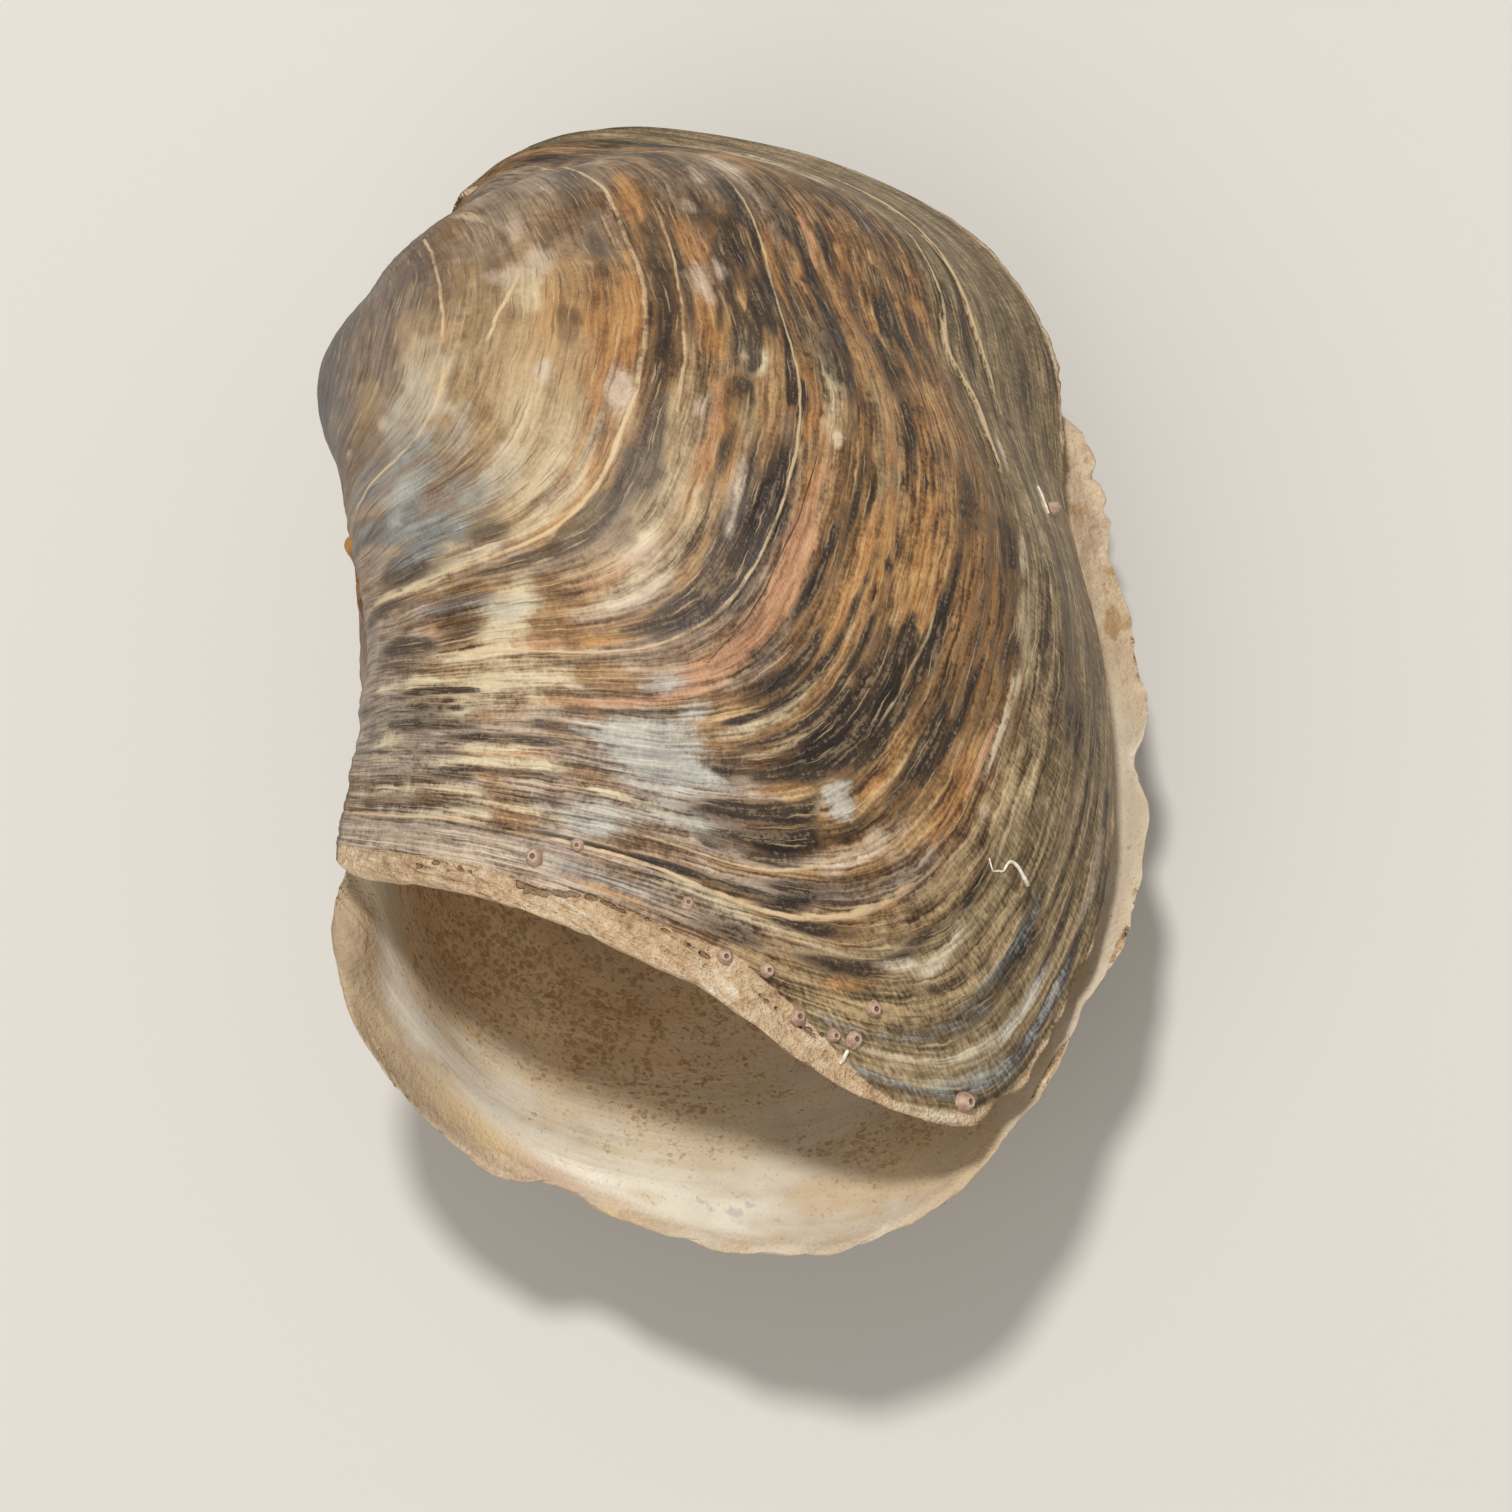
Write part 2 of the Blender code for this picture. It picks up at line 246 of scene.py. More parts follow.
def outward(growth, bearing, side):
    # unit normals of the outside: the cross product of small steps along both numbers
    growth, bearing = paired(growth, bearing)
    around = (outside(growth, np.clip(bearing + 0.1, 0, 180), side)
              - outside(growth, np.clip(bearing - 0.1, 0, 180), side))
    along = outside(growth * 1.001, bearing, side) - outside(growth * 0.999, bearing, side)
    return unit(np.cross(along, around))


def flare(growth, bearing, side):
    # mm outwards along the normal: a bell over the bearing that grows in towards the edge
    bell = np.exp(-((bearing - wall["flareBearing"]) / wall["flareWidth"]) ** 2)
    return wall["rearFlare"][side] * ease((growth - wall["flareStart"]) / wall["flareBlend"]) * bell


def inside(growth, bearing, side):
    # the outside at a slower growth, moved in along its normal by the wall
    growth, bearing = paired(growth, bearing)
    thickness = (wall["edge"][side] + wall["bodyExtra"] * ease((1.0 - growth) / wall["bodyBlend"])
                 + wall["umboExtra"] * ease((wall["umboStart"] - growth) / wall["umboBlend"])
                 + wall["thinExtra"][side] * ease((1.0 - growth) / wall["thinBlend"])
                 - flare(growth, bearing, side))
    late = spiral["lateStart"]
    ownGrowth = growth ** (spiral["cavityTurn"] / spiral["beakTurn"])
    ownGrowth = ownGrowth * (1.0 - wall["rimSetback"][side] * ease((growth - late) / (1.0 - late)))
    least, more = wall["hingeInset"]
    inset = least + more * ease((wall["insetStart"] - growth) / wall["insetBlend"])
    ownBearing = inset + bearing * (180.0 - 2.0 * inset) / 180.0
    points = outside(ownGrowth, ownBearing, side)
    facing = outward(ownGrowth, np.minimum(ownBearing, wall["gatherBearing"]), side)
    points = points - facing * thickness[..., None]
    drop, rise = wall["seamStep"]
    points[..., 2] = keepClear(points[..., 2] - drop) + rise
    return points


def placeRight(points):
    # turned, moved to its place over the floor and made metres
    turned = points @ (rotation("X", pose["turnX"]) @ rotation("Y", pose["turnY"])).T
    return (turned + pose["hingePlace"]) * mm


def placeLeft(points):
    # mirrored, hung open about the hinge line, twisted and slid, then laid down with the other
    own = points * (1.0, 1.0, -1.0)
    own = own @ (rotation("Z", pose["leftTwist"]) @ rotation("Y", pose["leftOpening"])).T
    laid = placeRight(own + pose["leftSlip"])
    laid[..., 2] = np.maximum(laid[..., 2], 0.0)     # the worn flat that it rests on
    return laid


# how far each growth line bends off its growth, by bearing
ringBend = {0: 0.05, 10: 0.05, 20: 0.02, 30: 0.05, 40: 0.045, 50: 0.015, 60: 0.0, 75: 0.0,
            90: 0.025, 105: 0.06, 118: 0.085, 135: 0.04, 150: -0.03, 180: -0.05}


def ringOf(growth, bearing):
    # the same number on the whole length of one line: growth plus a bend that fades at the edge
    return growth + smoothTable(bearing, ringBend) * np.clip(1.0 - growth, 0.0, 0.7)


# each mark: growth, bearing, half height in growth, half width in bearing, strength and slope in
# growth per degree, where it has one. Growths, half heights and slopes are in thousandths
marks = {
    "dark": [
        (978, 49.5, 5, 10.5, 1), (934, 48, 7, 6.5, 0.9, -1), (958, 55, 4, 8, 0.7),
        (893, 31.5, 10, 2, 0.8, -2), (885, 41, 4, 2, 0.8, -2), (876, 44.5, 5, 2, 0.7),
        (875, 49.8, 4, 2.2, 1.2), (842, 27, 5, 7.5, 1, -0.4), (838, 37.6, 7, 2.4, 1, -4),
        (790, 38.5, 14, 2.8, 1.2, -2), (786, 43.5, 4, 2, 1.1, -1), (765, 40.5, 10, 2.5, 0.9, -3),
        (728, 48, 16, 7, 1.3, 0.4), (744, 54, 10, 4, 1.2), (746, 52, 12, 4, 1.2),
        (762, 57, 6, 8, 1.1, 1), (708, 49, 4, 8, 1, 0.6), (690, 50, 4, 9, 0.9, 1),
        (672, 46.3, 6, 3.2, 1, 1), (721, 38.5, 6, 3, 0.8), (664, 57, 6, 7, 1.1, 1.2),
        (668, 82, 8, 8, 1), (655, 79, 14, 4, 0.8), (678, 63, 5, 9, 0.9, 0.6),
        (806, 57, 2.5, 5, 1.1, 1), (770, 62, 4, 8, 0.9, 0.4), (822, 10, 7, 7, 0.5),
        (783, 12, 7, 8, 0.54, -1), (766, 20, 4, 8, 0.62, -1.2), (700, 15, 12, 7, 0.55),
        (678, 17.5, 10, 6, 0.6, -1), (745, 14, 5, 7, 0.52), (720, 22, 6, 7, 0.62, -1),
        (660, 5, 12, 6, 0.5), (612, 56, 13, 8.5, 1.5, 0.9), (596, 47, 8, 6, 1.1, 1.2),
        (603, 51, 12, 5.5, 1.7, 1.2), (371, 102, 18, 8, 0.55), (552, 99, 10, 6, 0.6),
        (455, 114, 20, 8, 0.6), (805, 66, 24, 10, 0.52), (828, 72, 14, 7, 0.6),
        (780, 72, 14, 8, 0.54), (575, 60, 5, 5, 0.6, 1), (760, 37.5, 10, 3, 1),
        (521, 58, 8, 6, 1.1, 0.4), (388, 25, 20, 5.5, 1.3), (450, 67, 8, 4, 0.6),
        (678, 50, 5, 4, 0.8), (833, 64, 10, 4, 0.6), (862, 37, 8, 3, 0.75), (524, 56, 10, 5, 1),
        (828, 38.5, 10, 3, 0.65), (893, 38, 8, 3, 0.6), (588, 19.5, 14, 4, 0.75),
        (584, 92, 12, 5, 0.8), (695, 29, 6, 3, 0.7), (719, 83, 10, 4, 0.7),
        (591, 46, 8, 4, 1.2, 1), (440, 35, 8, 4, 0.7, -2), (474, 27, 12, 5, 0.8),
        (574, 84, 6, 4, 0.9), (590, 19, 8, 4, 0.8), (655, 20, 5, 5, 0.8), (702, 93, 8, 6, 0.55),
        (522, 58, 6, 9, 1, 0.4), (790, 53, 10, 5, 0.9, 0.5), (592, 57, 5, 7, 0.9, 1),
        (583, 68, 6, 3, 0.8, -1), (572, 66, 4, 3, 0.6, -1), (590, 78, 5, 6, 1.2, 0.6),
        (575, 77, 4, 5, 1.1, 0.6), (562, 79, 3, 4, 0.9, 0.6), (601, 83, 6, 5, 1.3),
        (591, 93, 9, 5.5, 1.2, -0.4), (575, 88, 10, 3, 1.1), (616, 77, 3, 6.5, 1.2),
        (612, 90, 5, 10, 1, -0.4), (632, 86, 3, 8, 0.8), (519, 74, 10, 19, 1.2, -0.1),
        (508, 48, 8, 10, 1.2, 0.9), (535, 84, 4, 13, 1.1, -0.3), (498, 40, 5, 8, 0.8),
        (582, 17, 14, 4.6, 1), (575, 26, 14, 3.2, 0.85, -6), (540, 28.5, 18, 3.4, 0.9, -6),
        (520, 17, 9, 5, 1, -1), (470, 26, 18, 4.4, 1.3, -2), (458, 38.6, 10, 2.2, 1),
        (424, 41, 7, 1.6, 1.1, -2), (420, 37.5, 10, 3, 0.7), (438, 38, 5, 4, 0.8),
        (329, 41, 10, 4.4, 1, 1.6), (362, 44, 6, 3.4, 0.7, 1), (375, 42, 7, 1.4, 1, -4),
        (284, 43, 7, 4, 0.8, 1), (306, 57, 6, 6, 0.6, -0.4), (289, 72, 3, 5, 0.8, -1.6),
        (272, 68, 3, 3.4, 0.7, -1.2), (382, 80, 9, 5, 0.7, -0.6), (425, 88, 6, 4.4, 0.8),
        (466, 88, 10, 5.5, 0.8, -0.6), (452, 100, 12, 7, 0.9, -1.6), (442, 69, 4, 7, 0.6, -0.6),
        (743, 91, 7, 7, 1.1, -1.2), (848, 99, 6, 8, 0.9, 0.6), (662, 90, 6, 13, 1, -0.5),
        (684, 99, 5, 5, 0.9, -0.8), (722, 75, 6, 4, 0.9), (730, 92, 6, 8, 0.8, -0.4),
        (893, 90.2, 8, 0.5, 0.9), (600, 104, 16, 6, 0.9, -1), (640, 104, 10, 7, 0.7, -1.2),
        (560, 100, 16, 6, 0.6, -1), (905, 68, 10, 6, 0.7, -1), (925, 65, 6, 6, 0.6, -1),
        (945, 60, 3, 12, 0.8, 0.5), (430, 150, 20, 18, 0.9, 1), (700, 140, 20, 16, 0.8),
        (580, 150, 15, 14, 0.8, 1), (840, 135, 12, 15, 0.6), (550, 118, 14, 9, 0.8),
        (310, 120, 15, 14, 0.8),
    ],
    "cream": [
        (540, 49, 7, 5, 0.9, 0.4), (458, 50, 9, 5, 0.9), (640, 26, 22, 4.4, 1.3, -4),
        (672, 21.5, 12, 2, 1.2, -6), (576, 30.4, 15, 3.6, 1.4, -8.5),
        (546, 33.3, 14, 3.4, 1.3, -7), (606, 26, 10, 4, 1.2, -2), (555, 44.4, 8, 2.8, 0.75, -1),
        (546, 54.5, 10, 5, 0.4), (588, 73, 10, 2, 0.75), (566, 51, 6, 4.5, 0.55, 0.5),
        (640, 18, 8, 2.4, 1.1), (640, 12.5, 6, 2, 0.8), (834, 15.4, 11, 1.8, 1.1),
        (800, 6.5, 6, 6, 0.9), (799, 15, 6, 2.6, 1.1), (722, 9, 18, 1.9, 1), (750, 8, 6, 3, 0.8),
        (753, 21.5, 6, 5, 1, -1.4), (737, 21, 6, 2.6, 1.1, -2), (768, 29.3, 5, 2.2, 1.1, 2),
        (762, 42, 6, 1.8, 0.6), (814, 20.5, 5, 2.6, 0.8), (870, 34, 8, 3.6, 0.5, -1),
        (862, 31.5, 6, 2.4, 0.9), (892, 44.5, 4, 2.4, 0.9, -3), (690, 43.5, 4, 5, 0.9),
        (712, 44.5, 3, 3.5, 0.9), (340, 53, 18, 7, 0.9, 0.2), (478, 48, 4, 9, 1.1, 0.6),
        (468, 43.5, 4, 4, 1), (485, 31, 6, 6, 1.3, -2.2), (498, 23, 5, 4.6, 1.2, -0.8),
        (460, 33, 8, 3, 0.9, -3), (452, 46, 10, 5, 0.5), (430, 51, 14, 8, 0.6),
        (866, 66.5, 4, 2, 0.7), (840, 67.5, 4, 2, 0.7), (878, 76, 5, 4, 0.7),
        (350, 102, 5, 4.5, 1.2, -4), (844, 61.8, 5, 0.9, 1.2, 2), (842, 57.4, 3, 3, 1.1, 0.5),
        (656, 68.4, 4, 0.8, 1.4), (650, 76, 10, 5, 0.8), (955, 44, 4, 6, 0.5),
        (414, 73, 8, 3.5, 0.75), (760, 128, 20, 8, 0.9), (500, 130, 14, 9, 0.9),
    ],
    "orange": [
        (632, 71.5, 10, 5, 1.4), (702, 72, 8, 4, 0.9), (579, 61, 6, 4, 0.9), (757, 61, 8, 4, 0.9),
        (493, 71, 9, 9, 1.5), (478, 66, 12, 12, 1.1), (465, 72, 10, 8, 0.9),
        (915, 33, 10, 3, 0.5), (484, 51, 8, 9, 0.8, 0.8), (553, 76, 11, 7, 1.4),
        (566, 60, 9, 7, 1.2, 0.8), (548, 92, 12, 5, 1, -0.5), (576, 81, 8, 3, 0.8),
        (620, 94.5, 7, 6.5, 1.3, -0.5), (665, 100, 4, 4, 1.4, -1), (826, 52, 8, 3, 1.2),
        (642, 62, 8, 6, 1.2), (844, 61.8, 6, 1, 1.5, 2), (692, 58, 9, 9, 1.1, 0.8),
        (706, 63, 8, 7, 1.1), (745, 58.5, 12, 4, 0.8), (742, 66, 16, 6, 0.7),
        (790, 66, 18, 9, 0.7), (812, 66, 6, 7, 1), (784, 98, 12, 7, 0.8), (700, 100, 10, 8, 0.8),
        (500, 101, 10, 7, 1, -0.4), (580, 97, 12, 3, 0.8), (655, 91, 8, 3, 1),
        (905, 37.5, 10, 2.6, 0.62, -4), (590, 38, 6, 3, 0.8), (540, 44, 6, 4, 0.8),
        (740, 21.5, 9, 4, 0.6, -2), (352, 63, 5, 2, 1.2, -1.2), (440, 70, 30, 14, 0.5),
        (720, 78, 60, 18, 0.5), (770, 48, 4, 5, 0.7), (900, 24, 6, 3, 0.8),
        (660, 125, 20, 10, 0.8), (600, 165, 30, 10, 0.6),
    ],
    "salmon": [
        (667, 99.5, 3.5, 4.5, 1.3, -0.6), (643, 53, 9, 10, 1.7, 0.2), (636, 45, 7, 5, 1.25),
        (655, 36, 5, 6, 1.1, -1.2), (650, 66, 8, 4, 0.7), (590, 31.5, 7, 3, 1.1, -1),
        (542, 43, 10, 4, 0.7), (733, 45, 10, 2.8, 0.8), (740, 52, 6, 1.6, 0.9),
        (562, 62, 4, 5, 0.7), (843, 43.5, 3, 2, 1.2, -2), (556, 24, 12, 2, 0.6, -4),
        (470, 48.5, 6, 2, 0.8), (835, 56, 3, 3, 1.1, 1), (410, 29, 3, 2.4, 0.8, -2),
        (556, 94, 10, 5, 0.5),
    ],
    # pale: pale scars and chalky patches; some of the pale marks on the smooth early shell near the
    # beak are painted highlights of its soft sheen
    "pale": [
        (895, 8, 20, 10, 1), (930, 2, 30, 4, 0.9), (838, 10, 10, 6, 0.75), (892, 15, 12, 6, 0.7),
        (898, 43.5, 3, 1.4, 0.8, -3), (925, 20, 10, 3, 0.9), (803, 42, 8, 3, 0.75),
        (398, 77, 8, 3.2, 1.4, -0.4), (390, 76, 10, 1.6, 1.2), (418, 82, 10, 3, 1.1, 0.4),
        (436, 60.3, 7, 1.6, 1.4), (494, 61.5, 10, 2.4, 1.9), (552, 63.7, 6, 1.4, 1.1),
        (552, 83, 9, 3, 0.9), (570, 87, 6, 2, 0.7), (567, 45, 4, 2.4, 0.8, -1),
        (548, 47, 6, 1.5, 0.7, 4), (565, 41, 6, 1, 0.8, -4), (590, 58, 4, 3, 0.7),
        (303, 45.4, 4, 1, 1.3), (271, 37.7, 4, 0.7, 1.2), (417, 48.4, 3, 0.8, 1.2),
        (400, 92, 7, 4, 0.7), (550, 100, 8, 2, 0.6), (842, 57.4, 4, 3, 0.7, 0.5),
        (843, 73, 5, 1.8, 1.1), (852, 84.5, 4, 1.6, 0.9, 1), (914, 83.6, 4, 0.9, 1.2),
        (888, 41.5, 5, 1.4, 0.5), (855, 53, 3, 0.5, 1.2), (360, 112, 20, 8, 0.5),
        (620, 115, 12, 6, 0.5), (975, 57.5, 4, 2.5, 0.9),
    ],
    "mist": [
        (714, 33.5, 32, 2.6, 1.5, -2), (690, 36, 22, 2.3, 1.2, -4), (668, 39, 8, 1.6, 0.9, -3),
        (805, 26.5, 18, 3, 0.9, -6), (780, 31, 12, 1.8, 0.65, -4), (640, 38.8, 7, 1.5, 0.9, -3),
        (960, 47, 5, 4, 0.55), (766, 43.9, 11, 0.75, 1.8, -3), (334, 47, 20, 6, 0.65),
        (378, 46, 12, 4, 0.75), (425, 43, 10, 4, 0.65), (690, 33.2, 13, 2.3, 1.4, -3),
        (373, 37, 13, 4, 1.1, -1), (975, 42.5, 6, 3, 0.7), (545, 31.5, 10, 2.5, 0.8),
    ],
    "pit": [
        (944, 17.9, 9, 0.9, 1.5), (936, 19.4, 7, 1.2, 1.3, -7), (925, 21.2, 6, 1.2, 1.3, -4),
        (920, 23.4, 6, 1.2, 1.2, 1), (924, 26, 5, 1.4, 1, 2), (932, 28.4, 5, 1.3, 0.9, 3),
        (934, 10, 7, 0.8, 0.9), (925, 5, 4, 1, 0.8), (938, 12.3, 5, 0.7, 0.9),
        (945, 9, 8, 0.6, 0.8), (950, 31.6, 6, 0.8, 0.8), (960, 33.4, 5, 0.8, 0.8),
        (912, 43, 3, 0.8, 0.9), (847, 18.5, 1.8, 1.2, 1, 1),
    ],
    "steel": [
        (375, 36.5, 14, 3.6, 1.5, -2), (336, 33, 20, 6, 0.8), (395, 27, 20, 6, 0.7),
        (402, 40, 12, 4.5, 0.8), (542, 27, 12, 3.5, 0.9, -3), (432, 33, 16, 3.2, 1.2, -4),
        (392, 33, 18, 5.6, 1.2, -1), (372, 38.5, 14, 4, 1.2, -2), (410, 31, 14, 5, 1),
        (345, 42, 10, 4, 1.1, 2), (200, 60, 35, 30, 0.65), (455, 29, 10, 4, 0.7, -2),
        (885, 22, 8, 5, 0.6, -1), (935, 44, 6, 7, 0.8, -1), (978, 46, 4, 9, 0.8),
    ],
    "gold": [
        (283, 47, 12, 5, 1.2), (566, 40, 10, 4, 0.3), (319, 64, 12, 5, 1), (545, 31, 8, 3, 0.9),
        (400, 60, 70, 28, 0.75), (430, 60, 55, 18, 1.3), (463, 55, 12, 7, 1.4),
        (857, 49, 10, 7, 1.1), (913, 46, 10, 7, 1), (644, 63, 10, 6, 1.2), (704, 66, 8, 6, 1),
        (548, 58, 30, 17, 1, 0.5), (580, 62, 12, 6, 1.2), (703, 71, 13, 9, 1.4),
        (915, 33, 12, 3, 1.2), (877, 67, 20, 8, 1), (390, 63, 22, 8, 1.2), (640, 70, 16, 10, 0.8),
        (625, 25, 30, 8, 0.9, -3), (925, 38, 12, 5, 0.9, -1),
    ],
    "slate": [
        (885, 12, 45, 20, 1.2), (700, 8, 110, 16, 1.1), (560, 12, 80, 12, 1),
        (430, 28, 60, 12, 1.2), (330, 36, 35, 10, 1.3), (215, 66, 60, 70, 1.3),
        (290, 80, 35, 16, 0.9), (380, 96, 30, 12, 0.9), (520, 50, 12, 14, 0.9, 0.9),
        (612, 52, 18, 14, 0.8, 0.8), (730, 34, 50, 5, 1.1), (800, 27, 30, 7, 0.8),
        (935, 47, 15, 11, 1, -1), (978, 50, 10, 14, 0.9), (600, 108, 35, 10, 0.8, -1),
        (555, 108, 40, 10, 0.6), (885, 44, 12, 6, 0.8), (460, 90, 30, 9, 0.6),
        (420, 110, 70, 12, 0.7), (745, 110, 20, 5, 0.7), (565, 43, 12, 6, 0.8),
        (435, 80, 10, 6, 0.8), (945, 63, 20, 9, 0.7), (870, 66, 30, 8, 0.5),
        (450, 150, 120, 30, 0.8), (835, 45, 12, 3, 0.9), (802, 35, 14, 3, 0.9),
        (832, 38, 14, 5, 1), (655, 47.5, 6, 4, 0.9), (300, 62, 40, 26, 0.9),
    ],
}

# marks of the hollow, in the same numbers
hollowMarks = {
    # stain: ochre staining where the grains crowd, and a tan wash that follows the front valve's
    # shadow in the hollow, painted warm shade
    "stain": [
        (600, 24, 200, 26, 1.5), (790, 9, 50, 6, 0.9), (800, 31, 50, 8, 1), (840, 23, 35, 2, 0.9),
        (850, 35, 40, 4, 1), (880, 25, 20, 1.4, 0.8), (885, 32, 20, 2.2, 0.8),
        (945, 41, 35, 0.9, 1.1), (900, 41, 60, 5, 1.3), (930, 52, 50, 12, 1.2),
        (600, 60, 150, 20, 0.9), (550, 110, 120, 30, 0.8), (990, 88, 30, 9, 0.7),
        (990, 70, 20, 8, 0.5),
    ],
    "blush": [
        (962, 19.5, 14, 2.8, 1.2), (943, 21.5, 9, 1.6, 1),
    ],
    # honey: yellowish patches; the one by bearing 46 warms the hollow where the front valve's
    # shadow lies, painted warm shade
    "honey": [
        (958, 12.5, 16, 3.5, 1.2), (940, 46, 40, 8, 0.9), (990, 24, 12, 4, 0.7),
    ],
    # dusk: a darker grey-brown margin at the rear corner; the patch by bearing 46 darkens the
    # hollow where the front valve's shadow lies, painted shade
    "dusk": [
        (985, 7, 22, 5, 0.9), (965, 3.5, 45, 5, 1.2), (960, 7.5, 20, 3, 0.9),
        (900, 1, 50, 2.5, 1), (950, 46, 60, 12, 0.9),
    ],
    "spot": [
        (996, 87.3, 5.5, 1.1, 1.7, 3), (978, 98.5, 12, 1.1, 0.65), (998, 92, 5, 0.9, 0.65),
        (990, 84, 5, 1, 0.65), (990, 80, 4, 1.2, 0.55),
    ],
    "scratch": [
        (958, 29.6, 8, 0.35, 1, 12), (962, 31, 3, 1, 0.9, 2), (950, 32.2, 4, 0.8, 0.8, -6),
        (970, 32.8, 5, 0.6, 0.7, 4),
    ],
}

# how far each broad coat reaches: the growth where it starts, by bearing, and its blend in growth
zones = {
    "rim": (0.03, {0: 0.925, 8: 0.921, 15: 0.923, 19: 0.938, 23: 0.914, 27: 0.920, 31: 0.914,
                   33: 0.940, 34.2: 0.962, 35.4: 0.982, 37: 0.992, 41: 0.990, 48: 0.993,
                   60: 0.996, 90: 0.994, 120: 0.99, 140: 1.02, 180: 1.02}),
    "margin": (0.055, {0: 0.84, 2.5: 0.90, 5: 0.942, 10: 0.956, 15: 0.950, 20: 0.950, 24: 0.962,
                       28: 0.995, 32: 1.008, 40: 0.990, 48: 0.99, 60: 1.0, 75: 1.012,
                       100: 1.01, 125: 1.0, 180: 0.98}),
    "olive": (0.10, {0: 1.05, 28: 1.03, 34: 0.90, 40: 0.87, 50: 0.855, 62: 0.855, 75: 0.83,
                     90: 0.80, 105: 0.80, 125: 0.74, 180: 0.66}),
}

# thin ridges along growth lines: growth by bearing, width in mm, strength, 1 cream or -1 dark
threads = [
    ({15: 0.505, 22: 0.503, 27: 0.500, 31: 0.491, 36: 0.483, 41: 0.484, 50: 0.494, 60: 0.503,
      75: 0.503, 90: 0.494, 105: 0.475, 115: 0.457, 125: 0.465, 140: 0.51, 152: 0.55},
     0.55, 1.0, 1),
    ({20: 0.606, 30: 0.598, 38: 0.603, 45: 0.609, 52: 0.617, 60: 0.625, 70: 0.624, 80: 0.617,
      90: 0.618, 100: 0.612, 110: 0.600, 122: 0.590, 140: 0.62}, 0.34, 0.9, 1),
    ({0: 0.845, 8: 0.848, 15: 0.846, 18: 0.850, 24: 0.847, 30: 0.848, 34: 0.855, 38: 0.851,
      42: 0.843, 46: 0.840}, 0.8, 1.1, 1),
    ({28: 0.810, 33: 0.812, 36: 0.814, 40: 0.806, 42.5: 0.801, 46: 0.797}, 0.45, 1.0, 1),
    ({26: 0.344, 30: 0.337, 34: 0.332, 40: 0.337, 44: 0.344, 50: 0.352, 58: 0.357}, 0.5, 1.0, 1),
    ({61: 0.353, 70: 0.343, 80: 0.329, 90: 0.317, 96: 0.308, 102: 0.298}, 0.45, 1.0, 1),
    ({60: 0.537, 70: 0.534, 80: 0.530, 90: 0.530, 98: 0.522}, 0.35, 0.9, 1),
    ({62: 0.387, 68: 0.394, 73: 0.400, 77: 0.404, 79: 0.402}, 0.5, 1.3, 1),
    ({88: 0.380, 94: 0.375, 98: 0.365, 103: 0.352, 107: 0.338}, 0.4, 0.8, 1),
    ({80: 0.836, 85: 0.836, 89: 0.834, 92.5: 0.817, 98: 0.818, 105: 0.819, 112: 0.817},
     0.7, 1.5, 1),
    ({88: 0.878, 92: 0.876, 96: 0.872, 101: 0.862, 106: 0.860, 112: 0.862, 120: 0.862,
      128: 0.86}, 0.75, 1.6, 1),
    ({84: 0.829, 89: 0.826, 92.5: 0.810, 98: 0.811, 106: 0.812}, 0.35, 0.8, -1),
    ({90: 0.869, 96: 0.865, 101: 0.856, 107: 0.854, 113: 0.855}, 0.5, 0.9, -1),
    ({50: 0.748, 55: 0.753, 58: 0.758, 62: 0.761}, 0.35, 0.8, 1),
    ({22: 0.588, 26: 0.583, 29: 0.574}, 0.4, 0.8, 1),
    ({38: 0.503, 41: 0.507}, 0.4, 0.9, 1),
    ({41.5: 0.640, 43.5: 0.632, 47: 0.629, 51: 0.630, 55: 0.633, 59: 0.638, 63: 0.641,
      67: 0.643}, 0.16, 0.9, -1),
    ({41.6: 0.806, 43.6: 0.8005}, 0.22, 1.2, -1),
    ({46: 0.829, 52: 0.826, 58: 0.832, 64: 0.838}, 0.12, 0.7, -1),
    ({14: 0.510, 22: 0.512, 26: 0.507}, 0.3, 0.8, -1),
]


threadShape = {
    "waver": 0.0008,         # growth
    "waverSpacing": 1.9,     # degrees
    "taper": 2.0,            # degrees over which each end fades
    "reach": 5.0,            # half widths to which the strength is kept
    "fade": 1.5,
}


# amount, steps per growth, degrees per step and seed of the lattices that stretch the marks
markStretch = ((0.34, 45, 3.2, 880), (0.22, 120, 1.3, 881))


def markField(growth, bearing, places):
    # each mark is 1 at its middle, 0.5 at its outline and 0 at twice its size; the largest counts.
    # Two lattices stretch the distance from the middle, so that no outline is a plain oval
    field = np.zeros(np.broadcast(growth, bearing).shape)
    stretch = 1.0
    for amount, steps, degrees, seed in markStretch:
        stretch = stretch + amount * lattice(growth * steps, bearing / degrees, seed)
    for level, middle, high, wide, strength, *slope in places:
        offset = growth * 1000.0 - level - sum(slope) * (bearing - middle)
        distance = np.sqrt((offset / high) ** 2 + ((bearing - middle) / wide) ** 2) * stretch
        field = np.maximum(field, strength * ease(1.0 - 0.5 * distance))
    return field


def threadFields(growth, bearing):
    # half widths from the nearest thread, and its strength there, negative where it is dark
    nearest = np.full(np.broadcast(growth, bearing).shape, 9.0)
    strength = np.zeros(nearest.shape)
    shape = threadShape
    for line, width, power, tone in threads:
        first, *_, last = line
        level = smoothTable(np.clip(bearing, first, last), line)
        level = level + shape["waver"] * wander(bearing, shape["waverSpacing"], first, 890)
        offset = (growth - level) * spiral["mmPerGrowth"] / (width * 0.5)
        fade = ease((bearing - first) / shape["taper"]) * ease((last - bearing) / shape["taper"])
        near = (np.abs(offset) < np.abs(nearest)) & (fade > 0)
        nearest = np.where(near, offset, nearest)
        reach = ease((shape["reach"] - np.abs(offset)) / shape["fade"])
        strength = np.where(near, power * tone * fade * reach, strength)
    return nearest, strength


print("marks laid out")


